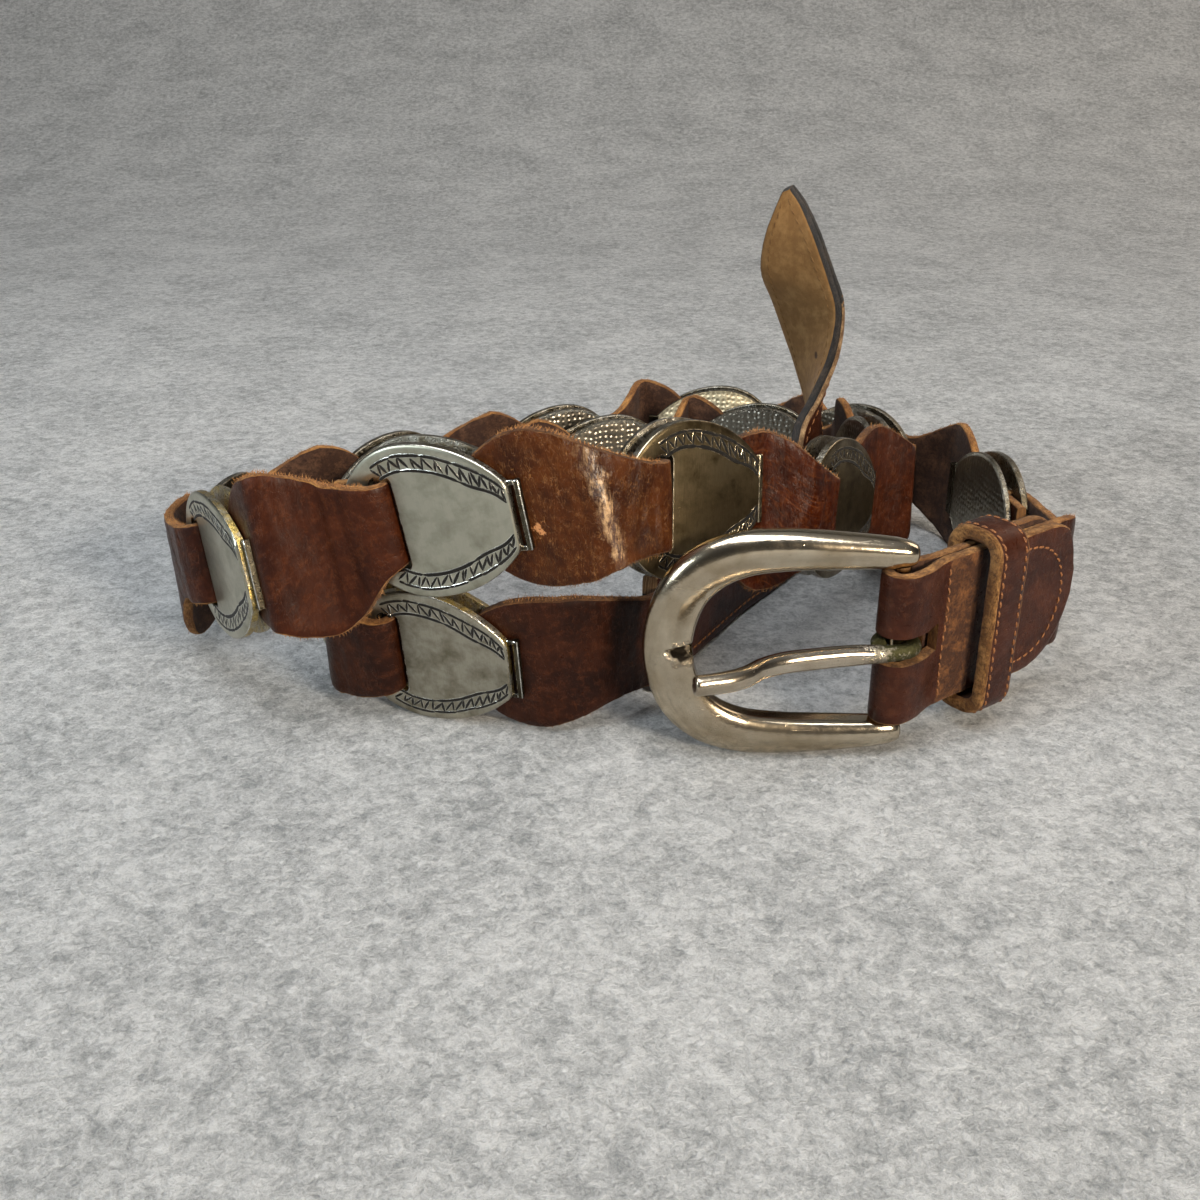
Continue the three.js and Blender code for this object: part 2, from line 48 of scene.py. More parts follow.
# The metal plates in order from the buckle: middle, heading, climb and lean in degrees.
PLATES = [
    (85, 12.4, 16.6, 97, 0, 0),
    (59.5, 53, 16.6, 135, 0, 0),
    (23, 70.5, 16.6, 170, 0, 0),
    (-21, 51, 16.6, 203, 0, 0),
    (-62, 27, 16.6, 218, 0, 0),
    (-92, -9, 18, 250, 4, 0),
    (-82.5, -51, 30.5, 304, 14, 2),
    (-40.1, -65.5, 46, 342, 10, 3),
    (5.5, -57, 46.3, 38, -6, -8),
    (39, -25, 32.5, 55, -12, -4),
    (55, 18, 24, 97, -8, 0),
    (33, 52, 17, 160, 0, 0),
    (-8, 42, 16.6, 196, 0, 0),
    (-47, 17, 16.6, 225, 0, 0),
    (-64, -29, 16.6, 270, 0, 0),
    (-42.4, -59, 15.4, 341, 0, 9),
]
PLATE_LENGTH, PLATE_ROUND, PLATE_EDGE = 34, 15, 12.4
SLOT_FROM, SLOT_TO, SLOT_HALF = -9.6, -5.3, 9.2
WEB_FROM, WEB_TO, WEB_HALF = 17.9, 18.9, 6.7
FACE = 1.4                            # half the room between the two plates
TOP = 3.28                            # the front plate's outer face
LEATHER, OVER = 2.2, 4.7
LINK_HALF, NECK_HALF = 16.5, 8.2
NARROWS_FROM, NARROWS_TO = 23.3, 2.3  # how far before the slot a link narrows
# Links that lie askew: lengths along the link, then how far its lower and its upper edge reach there.
ASKEW = {
    7: ((0, 14, 20, 27, 60), (16.5, 16.3, 12.4, 8.2, 8.2), (16.5, 16.3, 12.4, 8.2, 8.2)),
    8: ((0, 14, 16, 18.3, 21, 24, 27, 30, 33, 36.4, 39.2, 40.6, 60),
        (10.5, 11, 12, 14.6, 16.6, 18.6, 19.8, 18.9, 16.6, 12.9, 9.9, 8.2, 8.2),
        (17.5, 18, 18.2, 17.3, 15.3, 13.2, 11.1, 9.5, 9, 8.8, 8.4, 8.2, 8)),
    9: ((0, 6, 14, 16.5, 20.5, 22.5, 25, 27.3, 30, 33, 37, 60),
        (12, 14.2, 14.8, 14.5, 13.5, 12.9, 12, 10.7, 9.6, 8.9, 8.2, 8.2),
        (17, 15.5, 15.5, 15.3, 14.2, 13.4, 12.3, 11.5, 10.6, 9.6, 8.6, 8.2)),
    10: ((0, 14, 17, 20, 22.4, 25, 27.3, 29, 33, 37, 60),
         (19, 21.5, 20.6, 18.2, 15.5, 12.6, 10.3, 9.3, 8.7, 8.5, 8.5),
         (13, 11.1, 11.1, 11.9, 12.3, 12.3, 11.7, 10.8, 9, 7.5, 7.5)),
    16: ((0, 12, 15, 18, 22, 27, 31, 36, 60), (16, 14.8, 13, 11, 10.4, 10.4, 9.4, 8.3, 8.2),
         (16, 15, 14, 12, 10.5, 9.5, 9, 8.4, 8.2)),
    17: ((0, 6, 17, 19.6, 24.3, 29.4, 34.9, 40.4, 46.6, 60),
         (15, 15, 14.3, 13.4, 11.7, 9.6, 8.6, 8.8, 10, 10.5),
         (14.5, 14.5, 15.5, 15.6, 15.2, 14.2, 12.6, 11, 10.5, 10.5)),
}
FLAP_END = -18.2
FIBRE_LENGTH, FIBRE_WIDTH, FIBRE_DEPTH = 0.85, 0.038, 0.034
BUCKLE = (44.6, -72, 23.2, 0, 0, 0)
# The tab's heading, length, half height and half the room at its fold.
TAB = {"heading": 36.5, "length": 48, "half": 15.2, "hole": 1.8}


# Poses and paths

def vec(*values):
    return np.array(values, float)


def unit(v):
    return v / np.linalg.norm(v)


def smooth(x, low, high):
    t = min(max((x - low) / (high - low), 0.0), 1.0)
    return t * t * (3 - 2 * t)


def mix(a, b, t):
    return a + (b - a) * t


class Pose:
    """A place with the directions up the belt, out of its outer face and, where that counts, along it."""

    def __init__(self, at, up, out, along=0.0):
        self.at, self.up, self.out, self.along = at, up, out, along

    def point(self, s, u, n):
        return self.at + self.along * s + self.up * u + self.out * n

    def moved(self, s, n=0.0):
        return Pose(self.point(s, 0, n), self.up, self.out, self.along)


def pose_of(x, y, z, heading, climb, lean):
    h, c, l = (math.radians(a) for a in (heading, climb, lean))
    along = vec(math.cos(h) * math.cos(c), math.sin(h) * math.cos(c), math.sin(c))
    level = vec(math.sin(h), -math.cos(h), 0)
    up = np.cross(level, along) * math.cos(l) + level * math.sin(l)
    return Pose(vec(x, y, z) + SHIFT, up, np.cross(along, up), along)


POSES = [pose_of(*row) for row in PLATES]
TAB_POSE = pose_of(*BUCKLE[:3], TAB["heading"], 0, 0)
BUCKLE_POSE = pose_of(*BUCKLE)
JOIN = pose_of(2.7, -50, 14, 60.2, 0, 0)   # where link_17 meets the strap


def stretch(start, end, leaving, arriving):
    """A smooth path from one pose to the next."""
    steps = 24
    p = [start.at, start.at + start.along * leaving, end.at - end.along * arriving, end.at]
    made = []
    for i in range(steps + 1):
        t = i / steps
        k = 1 - t
        point = k ** 3 * p[0] + 3 * k * k * t * p[1] + 3 * k * t * t * p[2] + t ** 3 * p[3]
        tangent = 3 * k * k * (p[1] - p[0]) + 6 * k * t * (p[2] - p[1]) + 3 * t * t * (p[3] - p[2])
        up = unit(mix(start.up, end.up, t))
        made.append(Pose(point, up, unit(np.cross(tangent, up))))
    return made


def free_stretch(start, end):
    """The same, softer where a pose looks away from the other."""
    chord = end.at - start.at
    span = np.linalg.norm(chord)
    chord = chord / span
    reach = [span * (0.16 + 0.24 * max(0.0, float(d @ chord))) for d in (start.along, end.along)]
    return stretch(start, end, *reach)


def fold_stations(pose):
    """The end of a link: over the plate's round end, round the slot's edge and back behind the plate."""
    radius, turn = OVER / 2, SLOT_FROM + 0.1
    made = [pose.moved(1 - PLATE_ROUND, OVER)]
    for a in (math.radians(90 - 15 * i) for i in range(13)):
        point = pose.point(turn + radius * math.cos(a), 0, radius + radius * math.sin(a))
        made.append(Pose(point, pose.up, pose.out * math.sin(a) + pose.along * math.cos(a)))
    return made + [Pose(pose.point(FLAP_END, 0, 0), pose.up, -pose.out)]


def before_slot(pose):
    return pose.moved(-PLATE_LENGTH / 2 - 1.5, OVER)


def lengths_of(stations):
    """How far along the path each of its stations is."""
    lengths = [0.0]
    for a, b in zip(stations, stations[1:]):
        lengths.append(lengths[-1] + float(np.linalg.norm(b.at - a.at)))
    return lengths


def evenly(stations, step):
    """The same path with stations a step apart, and the length of each along it."""
    lengths = lengths_of(stations)
    total = lengths[-1]
    count = max(int(round(total / step)), 2)
    made, at, j = [], [], 0
    for i in range(count + 1):
        want = total * i / count
        while j + 2 < len(lengths) and lengths[j + 1] < want:
            j += 1
        t = (want - lengths[j]) / max(lengths[j + 1] - lengths[j], 1e-9)
        a, b = stations[j], stations[j + 1]
        made.append(Pose(mix(a.at, b.at, t), unit(mix(a.up, b.up, t)), unit(mix(a.out, b.out, t))))
        at.append(want)
    return made, at


# Meshes

class Build:
    """Collects quads and triangles with texture places and material numbers for one piece."""

    def __init__(self):
        self.points, self.faces, self.uvs, self.mats = [], [], [], []

    def face(self, corners, uvs, mat):
        base = len(self.points)
        self.points.extend(corners)
        self.faces.append([base + i for i in range(len(corners))])
        self.uvs.extend(uvs)
        self.mats.append(mat)

    def grid(self, rows, uvs, mat, wrap=False, flip=False, skip=None):
        """rows of points share their vertices; mat is a number or a function of (row, column)."""
        base, wide = len(self.points), len(rows[0])
        for row in rows:
            self.points.extend(row)
        across = wide if wrap else wide - 1
        for r in range(len(rows) - 1):
            for c in range(across):
                if skip and skip(r, c):
                    continue
                d = (c + 1) % wide
                quad = [(r, c), (r, d), (r + 1, d), (r + 1, c)]
                if flip:
                    quad.reverse()
                self.faces.append([base + i * wide + j for i, j in quad])
                for i, j in quad:
                    u = uvs[i][j]
                    if wrap and d == 0 and j == 0:
                        u = uvs[i][wide] if len(uvs[i]) > wide else u
                    self.uvs.append(u)
                self.mats.append(mat(r, c) if callable(mat) else mat)

    def object(self, node, kind, materials, slot, sharp, body="belt"):
        """One closed piece in place of a node of the model, with every shell facing out."""
        mesh = bpy.data.meshes.new(f"{node}_{kind}")
        points = [(x * MM, y * MM, max(z, FLOOR_GAP) * MM) for x, y, z in self.points]
        mesh.from_pydata(points, [], self.faces)
        layer = mesh.uv_layers.new(name="UVMap")
        layer.data.foreach_set("uv", np.array(self.uvs, np.float32).reshape(-1) * UV_PER_MM)
        mesh.polygons.foreach_set("material_index", self.mats)
        for m in materials:
            mesh.materials.append(m)
        bm = bmesh.new()
        bm.from_mesh(mesh)
        bmesh.ops.remove_doubles(bm, verts=bm.verts, dist=WELD * MM)
        bmesh.ops.delete(bm, geom=[v for v in bm.verts if not v.link_faces], context="VERTS")
        bmesh.ops.holes_fill(bm, edges=[e for e in bm.edges if e.is_boundary], sides=0)
        bmesh.ops.recalc_face_normals(bm, faces=bm.faces)
        bm.to_mesh(mesh)
        bm.free()
        mesh.shade_smooth()
        mesh.set_sharp_from_angle(angle=math.radians(sharp))
        mesh.update()
        made = bpy.data.objects.new(mesh.name, mesh)
        bpy.context.scene.collection.objects.link(made)
        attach(made, body)
        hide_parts(node)


def hash01(*keys):
    """A repeatable number from 0 to 1."""
    return (math.sin(sum(k * s for k, s in zip(keys, (12.9898, 78.233, 37.719, 9.151)))) * 43758.5453) % 1.0


def wave(x, y, seed):
    return noise.noise(Vector((x, y, seed * 3.71)))


# Materials

class Nodes:
    """Short calls for the nodes of a material or world. Inputs are numbers, tuples or nodes' sockets."""

    def __init__(self, owner):
        owner.use_nodes = True
        self.owner, self.tree = owner, owner.node_tree
        self.tree.nodes.clear()
        self.source = self.node("TexCoord").outputs

    def node(self, kind, inputs=None, **settings):
        made = self.tree.nodes.new("ShaderNode" + kind)
        for key, value in settings.items():
            setattr(made, key, value)
        for key, value in (inputs or {}).items():
            socket = made.inputs[key]
            if isinstance(value, bpy.types.NodeSocket):
                self.tree.links.new(value, socket)
            else:
                socket.default_value = (*value, 1.0) if socket.type == "RGBA" else value
        return made

    def place(self, scale=(100, 100, 100), shift=(0, 0, 0), turn=0.0, source="UV"):
        """A texture place, in millimetres where the scale is left out."""
        return self.node("Mapping", {"Vector": self.source[source], "Scale": scale, "Location": shift,
                                     "Rotation": (0, 0, turn)}).outputs[0]

    def solid(self, scale=(1000, 1000, 1000), shift=(0, 0, 0), turn=0.0):
        """The same along the scene's own axes."""
        return self.place(scale, shift, turn, "Object")

    def noise(self, where, scale=1.0, detail=4.0, rough=0.55, distortion=0.0, output="Fac"):
        return self.node("TexNoise", {"Vector": where, "Scale": scale, "Detail": detail, "Roughness": rough,
                                      "Distortion": distortion}).outputs[output]

    def cells(self, where, scale, random=1.0):
        inputs = {"Vector": where, "Scale": scale, "Randomness": random}
        return self.node("TexVoronoi", inputs).outputs["Distance"]

    def math(self, kind, a, b=0.0):
        return self.node("Math", {0: a, 1: b}, operation=kind).outputs[0]

    def plus(self, a, b):
        return self.math("ADD", a, b)

    def times(self, a, b):
        return self.math("MULTIPLY", a, b)

    def range(self, value, low, high, to_low=0.0, to_high=1.0):
        return self.node("MapRange", dict(enumerate((value, low, high, to_low, to_high)))).outputs[0]

    def colour(self, factor, a, b):
        return self.node("Mix", {0: factor, 6: a, 7: b}, data_type="RGBA").outputs[2]

    def away(self, point):
        """Distance in mm from a point of the scene."""
        ends = {0: self.source["Object"], 1: tuple(point)}
        return self.times(self.node("VectorMath", ends, operation="DISTANCE").outputs["Value"], 1 / MM)

    def crease(self, value, width):
        """Thin lines where a noise passes its middle."""
        return self.range(self.math("ABSOLUTE", self.math("SUBTRACT", value, 0.5)), 0.0, width, 1, 0)

    def warp(self, where, amount, scale):
        """The same texture place, pushed about by a noise."""
        push = {0: self.noise(where, scale, 2, 0.5, output="Color"), 1: (amount,) * 3, 2: where}
        return self.node("VectorMath", push, operation="MULTIPLY_ADD").outputs[0]

    def bump(self, height, distance, under=None):
        inputs = {"Height": height, "Distance": distance * MM}
        return self.node("Bump", inputs if under is None else {**inputs, "Normal": under}).outputs[0]

    def finish(self, base, rough, normal, metallic=0.0, **more):
        inputs = {"Base Color": base, "Roughness": rough, "Normal": normal, "Metallic": metallic}
        for key, value in more.items():
            inputs[key.replace("_", " ").title().replace("Ior", "IOR")] = value
        self.node("OutputMaterial", {0: self.node("BsdfPrincipled", inputs).outputs[0]})
        return self.owner


def material(name):
    return Nodes(bpy.data.materials.new(name))


def grain_leather(name, dark, mid, light, seed, rough=0.34, wrinkle=0.35, crack=0.5, scratch=0.0, scuff=None,
                  burnish_and_painted_highlight=None, blotch=0.55):
    """Smooth side of oiled leather: mottled, with pores, fine wrinkles and light cracks.

    scuff is the place of a bare spot; a shiny fold is given as place along the link, slope, width and wear,
    and gets a raised gloss and a painted highlight of pale streaks in its colour.
    """
    n, lean, gloss = material(name), 0.25, 0.17
    at = n.place(shift=(seed, seed * 1.7, 0))
    soft = n.warp(at, 1.2, 0.5)
    cloud = n.noise(soft, 0.13, 6, 0.62)
    mottle = n.noise(soft, 0.62, 8, 0.7)
    base = n.colour(n.range(cloud, 0.38, 0.62), dark, mid)
    base = n.colour(n.range(mottle, 0.50, 0.80, 0, blotch), base, light)
    base = n.colour(n.range(mottle, 0.30, 0.45, blotch, 0), base, dark)
    creased = n.warp(n.place((100, 34, 100), shift=(seed, 3, 0), turn=lean), 0.9, 0.5)
    coarse = n.crease(n.noise(creased, 0.62, 3, 0.5, 0.3), 0.013)
    fine = n.warp(n.place((100, 38, 100), shift=(0, seed, 0), turn=lean), 0.6, 1.2)
    fine = n.crease(n.noise(fine, 1.2, 4, 0.6, 0.4), 0.030)
    where = n.range(n.noise(soft, 0.16, 4, 0.6), 0.44, 0.62)
    cracks = n.times(coarse, where)
    net = n.times(fine, n.range(mottle, 0.42, 0.6))
    base = n.colour(n.times(cracks, crack), base, light)
    base = n.colour(n.times(net, 0.5 * crack), base, light)
    if scratch:
        for turn, width in ((0.85, 150), (-0.5, 190)):
            run = n.noise(n.place((8, width, 100), turn=turn, shift=(seed, 0, 0)), 1.0, 4, 0.7)
            base = n.colour(n.range(run, 0.58, 0.70, 0, scratch), base, light)
    if scuff is not None:
        near = n.plus(n.away(scuff), n.range(n.noise(at, 0.8, 5, 0.6), 0.25, 0.75, -1.5, 1.5))
        base = n.colour(n.range(near, 0.7, 1.3, 0.9, 0), base, (0.56, 0.25, 0.10))
    height = n.plus(n.times(mottle, 1.1), n.times(net, -0.35))
    normal = n.bump(height, 0.10)
    fold = n.noise(n.warp(n.place((52, 22, 100), shift=(seed, 0, 0)), 1.5, 0.4), 1.0, 4, 0.6)
    deep = n.plus(n.times(fold, wrinkle), n.times(cracks, -0.30 * wrinkle))
    normal = n.bump(deep, 0.9, normal)
    shine = n.range(n.noise(at, 0.8, 5, 0.65), 0.32, 0.7, rough - 0.07, rough + 0.15)
    # A shiny fold: the gloss rises, and a painted highlight of pale streaks is mixed into the colour.
    if burnish_and_painted_highlight:
        place, slope, wide, worn = burnish_and_painted_highlight
        x, y, _ = n.node("SeparateXYZ", {0: n.place()}).outputs
        ragged = n.range(n.noise(at, 0.35, 4, 0.7), 0.25, 0.75, -1.6, 1.6)
        across = n.math("SUBTRACT", n.plus(x, ragged), n.plus(n.times(y, slope), place))
        ridge = n.range(n.math("ABSOLUTE", across), 0.0, wide, 1, 0)
        ridge = n.times(ridge, n.range(n.math("ABSOLUTE", y), 7, 15, 1, 0))
        streak = n.noise(n.warp(n.place((150, 36, 100), turn=-slope), 0.9, 0.7), 1.0, 6, 0.75)
        painted_highlight = n.times(ridge, n.range(streak, 0.46, 0.60, 0.0, 1))
        base = n.colour(n.times(painted_highlight, worn), base, (0.62, 0.38, 0.18))
        gloss = n.plus(n.times(ridge, 1.1 * worn), gloss)
    return n.finish(base, shine, normal, specular_ior_level=gloss)


def suede(name, dark, mid, light, scale, depth, rough=0.9, mark=None):
    """Cut edges and flesh side: fibrous, matt and uneven. mark is the place of a small dark mark."""
    n = material(name)
    at = n.place()
    fibre = n.noise(n.warp(at, 0.8, 0.8), 1.5 * scale, 8, 0.75)
    blotch = n.noise(at, 0.22, 3)
    base = n.colour(n.range(fibre, 0.3, 0.7), dark, mid)
    base = n.colour(n.range(n.times(blotch, fibre), 0.22, 0.42), base, light)
    if mark is not None:
        base = n.colour(n.range(n.away(mark), 1.75, 1.95, 0.9, 0), base, (0.035, 0.012, 0.005))
    normal = n.bump(fibre, depth)
    return n.finish(base, rough, normal, specular_ior_level=0.2, sheen_weight=0.06, sheen_roughness=0.5)


def plate_metal(name, base, low, high, stain, brush, mottle, seed, hammer=0.0, tint=None, metallic=1.0):
    """Satin plating with brushing along its height, cloudy stains and, on backs, hammer marks."""
    n = material(name)
    at = n.place(shift=(seed, seed, 0))
    cloud = n.noise(n.warp(at, 2.0, 0.2), 0.22, 6, 0.6)
    streak = n.noise(n.place((420, 34, 100), shift=(seed, 0, 0)), 1.0, 5, 0.7)
    speck = n.noise(at, 2.6, 4, 0.7)
    darkening = n.times(n.range(cloud, 0.42, 0.68), mottle)
    colour = n.colour(darkening, base, stain)
    colour = n.colour(n.range(streak, 0.45, 0.75, 0, 0.45 * brush), colour, stain)
    colour = n.colour(n.range(speck, 0.60, 0.8, 0, 0.5 * mottle), colour, tint or stain)
    shine = n.plus(n.range(cloud, 0.35, 0.7, low, high), n.range(streak, 0.3, 0.8, 0, 0.14 * brush))
    normal = n.bump(n.plus(n.times(streak, brush), n.times(cloud, 0.9)), 0.05)
    if hammer:
        dents = n.cells(n.warp(at, 0.3, 0.5), 0.70, 0.4)
        normal = n.bump(n.range(dents, 0.08, 0.46), hammer, normal)
    return n.finish(colour, shine, normal, metallic=metallic)


def worn_edge(name, plating, brass, seed):
    """The side wall of a plate, worn and grimy, where the plating has gone in patches."""
    n = material(name)
    at = n.solid(shift=(seed, 0, 0))
    patch = n.noise(n.warp(at, 1.5, 0.3), 0.28, 5, 0.65)
    grime = n.noise(at, 1.4, 5, 0.7)
    colour = n.colour(n.range(patch, 0.40, 0.58), plating, brass)
    colour = n.colour(n.range(grime, 0.5, 0.7, 0, 0.85), colour, (0.07, 0.055, 0.03))
    normal = n.bump(n.plus(patch, n.times(grime, 0.6)), 0.35)
    return n.finish(colour, n.range(grime, 0.35, 0.75, 0.18, 0.6), normal, metallic=1.0)


def polished(name, base, stain, verdigris_and_shade):
    """Bright nickel silver with fine scratches and dull spots, and a dark patch round a point, given as
    (point, near, far, (low, high)): real verdigris at the tongue's root, painted shade in the frame's notch.
    """
    n, rough = material(name), 0.14
    at = n.solid()
    cloud = n.noise(n.warp(at, 3.0, 0.08), 0.09, 5, 0.6)
    scratch = n.math("MAXIMUM", *(n.range(n.noise(n.solid(scale, turn=turn), 1.0, 3, 0.7), low, high)
                                  for scale, turn, low, high in (((60, 900, 1500), 0.5, 0.66, 0.74),
                                                                 ((900, 500, 90), -0.4, 0.68, 0.75))))
    pit = n.range(n.cells(at, 0.55), 0.0, 0.12, 1, 0)
    # Stain clouds: partly real tarnish, partly painted reflection, warm-brown patches standing in for what the
    # polished metal mirrors.
    colour = n.colour(n.range(cloud, 0.40, 0.66, 0, 0.75), base, stain)
    colour = n.colour(n.times(pit, 0.6), colour, (0.10, 0.08, 0.06))
    shine = n.plus(n.range(cloud, 0.3, 0.75, rough - 0.05, rough + 0.14), n.times(scratch, 0.16))
    normal = n.bump(n.plus(n.times(cloud, 1.5), n.times(scratch, -0.10)), 0.12)
    # The dark patch round the point: verdigris on the tongue, painted shade in the frame's notch.
    point, near, far, (low, high) = verdigris_and_shade
    ragged = n.plus(n.away(point), n.range(n.noise(at, 0.8, 5, 0.7), 0.2, 0.8, -0.45 * far, 0.45 * far))
    there = n.range(ragged, near, far, 1, 0)
    colour = n.colour(there, colour, n.colour(n.noise(at, 2.0, 4, 0.7), low, high))
    shine = n.math("MAXIMUM", shine, n.times(there, 0.62))
    normal = n.bump(n.times(n.noise(at, 2.2, 5), there), 0.3, normal)
    return n.finish(colour, shine, normal, metallic=1.0)


def burr(name, base):
    """Metal worn bright along the plate's rim and beside the cut lines, and paler still as a painted glint."""
    n = material(name)
    at = n.solid()
    patch = n.noise(n.warp(at, 1.0, 0.5), 0.5, 5, 0.7)
    colour = n.colour(n.range(patch, 0.36, 0.60), tuple(0.35 * v for v in base), base)
    return n.finish(colour, n.range(patch, 0.35, 0.7, 0.16, 0.34), n.bump(patch, 0.15), metallic=1.0)


def thread(name, base, dark):
    """Twisted waxed thread."""
    n = material(name)
    at = n.solid()
    twist = n.noise(at, 3.5, 3, 0.6)
    colour = n.colour(n.range(twist, 0.35, 0.65), dark, base)
    return n.finish(colour, 0.75, n.bump(twist, 0.12), specular_ior_level=0.3)


def felt(name):
    """The floor: matted grey felt with paler tufts."""
    n = material(name)
    at = n.solid()
    cloud = n.noise(n.warp(at, 14, 0.02), 0.030, 4, 0.55, 0.4)
    blot = n.noise(n.warp(at, 2.5, 0.2), 0.30, 6, 0.66, 0.4)
    tuft = n.noise(n.warp(at, 1.2, 0.7), 0.95, 7, 0.72, 0.8)
    fibre = n.noise(n.warp(n.solid((1500, 1150, 900), turn=0.5), 1.1, 0.9), 1.2, 8, 0.8, 0.6)
    tone = n.plus(n.times(cloud, 0.13), n.times(blot, 0.31))
    tone = n.plus(tone, n.times(tuft, 0.34))
    tone = n.plus(tone, n.times(fibre, 0.22))
    colour = n.colour(n.range(tone, 0.42, 0.56), (0.29, 0.305, 0.315), (0.80, 0.81, 0.815))
    height = n.plus(n.times(blot, 1.2), n.plus(tuft, n.times(fibre, 0.6)))
    return n.finish(colour, 0.95, n.bump(height, 1.8), specular_ior_level=0.1, sheen_weight=0.15,
                    sheen_roughness=0.6)


def spot(x, y, z):
    """A place of the tables, in the scene."""
    return (vec(x, y, z) + SHIFT) * MM


GRAIN = [grain_leather(f"link_grain_{letter}", *colours, **more) for letter, colours, more in (
    ("a", ((0.0164, 0.0034, 0.001), (0.0372, 0.008, 0.0023), (0.1275, 0.036, 0.0101)), {"seed": 1.3}),
    # Leather b has a painted highlight along link_09's ridge, besides its real scuff.
    ("b", ((0.0238, 0.0053, 0.0009), (0.0621, 0.0161, 0.0023), (0.2856, 0.1237, 0.039)),
     {"seed": 7.9, "crack": 0.7, "wrinkle": 0.5, "rough": 0.31, "blotch": 0.16,
      "burnish_and_painted_highlight": (194.8, -0.24, 2.0, 0.8), "scuff": spot(-20.7, -72.5, 46.6)}),
    ("c", ((0.0149, 0.0022, 0.0003), (0.0375, 0.0058, 0.0007), (0.1897, 0.0525, 0.0108)),
     {"seed": 4.1, "crack": 0.2, "scratch": 0.4, "rough": 0.30}),
    ("d", ((0.0203, 0.0041, 0.001), (0.0411, 0.0091, 0.0023), (0.1326, 0.0382, 0.0108)),
     {"seed": 5.6, "crack": 0.2, "wrinkle": 0.2, "rough": 0.35}),
    ("e", ((0.0126, 0.0031, 0.0011), (0.0274, 0.0069, 0.0023), (0.1029, 0.0297, 0.0097)),
     {"seed": 3.7, "crack": 0.55, "wrinkle": 0.30, "rough": 0.33}))]
TAB_GRAIN = grain_leather("tab_grain", (0.0213, 0.0058, 0.0031), (0.0427, 0.012, 0.0057),
                          (0.109, 0.0387, 0.0175), 2.2, rough=0.30, wrinkle=0.12, crack=0.15)
# Cut edges and flesh sides: dark, middle and pale colour, scale, depth and roughness.
EDGE, DARK_EDGE, FLESH, FUZZ, TAB_WORN, TAB_EDGE, PAINTED, STRAP_RAW, CUT = (suede(*row) for row in (
    ("leather_edge", (0.06, 0.022, 0.007), (0.28, 0.115, 0.030), (0.50, 0.25, 0.075), 1.0, 0.6),
    ("leather_dark_edge", (0.03, 0.011, 0.004), (0.12, 0.046, 0.013), (0.27, 0.12, 0.036), 1.0, 0.6),
    ("leather_flesh", (0.018, 0.0072, 0.0042), (0.051, 0.0216, 0.0108), (0.105, 0.049, 0.0245),
     0.7, 0.25, 0.8),
    ("leather_fuzz", (0.20, 0.08, 0.03), (0.42, 0.20, 0.07), (0.55, 0.30, 0.12), 1.0, 0.1),
    ("tab_worn", (0.022, 0.0075, 0.0030), (0.070, 0.0240, 0.0075), (0.19, 0.075, 0.022), 0.7, 0.22, 0.7),
    ("tab_edge", (0.045, 0.018, 0.006), (0.24, 0.105, 0.030), (0.45, 0.23, 0.075), 0.9, 0.5),
    ("strap_painted_edge", (0.008, 0.008, 0.009), (0.020, 0.019, 0.019), (0.06, 0.045, 0.035),
     1.0, 0.3, 0.55),
    ("strap_raw_edge", (0.07, 0.035, 0.016), (0.24, 0.135, 0.062), (0.52, 0.34, 0.18), 1.2, 0.6),
    ("engraved_line", (0.003, 0.0025, 0.002), (0.006, 0.005, 0.004), (0.02, 0.016, 0.012), 1.0, 0.05, 0.8)))
LINING = suede("strap_lining", (0.165, 0.080, 0.025), (0.235, 0.122, 0.040), (0.29, 0.162, 0.060),
               0.35, 0.10, 0.66, spot(43.8, 24.3, 52.8))
THREAD = thread("tan_thread", (0.30, 0.125, 0.045), (0.09, 0.035, 0.014))
LINING_THREAD = thread("lining_thread", (0.20, 0.105, 0.034), (0.12, 0.055, 0.018))
VERDIGRIS = ((0.022, 0.024, 0.010), (0.11, 0.10, 0.045))
# Painted shade in the notch where the tongue's tip rests: a dark patch in the groove.
NOTCH_PAINTED_SHADE = ((0.010, 0.008, 0.006), (0.035, 0.028, 0.020))
NOTCH = BUCKLE_POSE.point(-39.8, -1.0, 1.3) * MM
# The frame's nickel: its stain clouds are partly painted reflection.
NICKEL = polished("nickel_silver", (0.56, 0.485, 0.37), (0.30, 0.23, 0.14), (NOTCH, 1.5, 3.0, NOTCH_PAINTED_SHADE))
NICKEL_TONGUE = polished("nickel_silver_tongue", (0.58, 0.51, 0.41), (0.32, 0.26, 0.18),
                         (spot(*BUCKLE[:3]), 5.0, 8.5, VERDIGRIS))
# Plate metals: base colour, lowest and highest roughness, stain, brushing, mottle and seed.
SILVER = plate_metal("plate_silver", (0.492, 0.4779, 0.3876), 0.27, 0.40, (0.272, 0.26, 0.195),
                     0.35, 0.75, 2.0)
AGED = plate_metal("plate_silver_aged", (0.44, 0.41, 0.33), 0.30, 0.46, (0.17, 0.15, 0.10), 0.5, 0.9, 12.0)
# A darker copy of the plate metal, for plates 1, 2 and 9 to 13.
DARK_PLATE = plate_metal("plate_dark", (0.155, 0.118, 0.066), 0.26, 0.40, (0.042, 0.030, 0.014), 1.0, 1.0, 6.0,
                     tint=(0.33, 0.26, 0.15))
HAMMERED = plate_metal("plate_hammered", (0.36, 0.33, 0.27), 0.27, 0.40, (0.13, 0.11, 0.075), 0.1, 0.5, 9.0,
                       hammer=0.12)
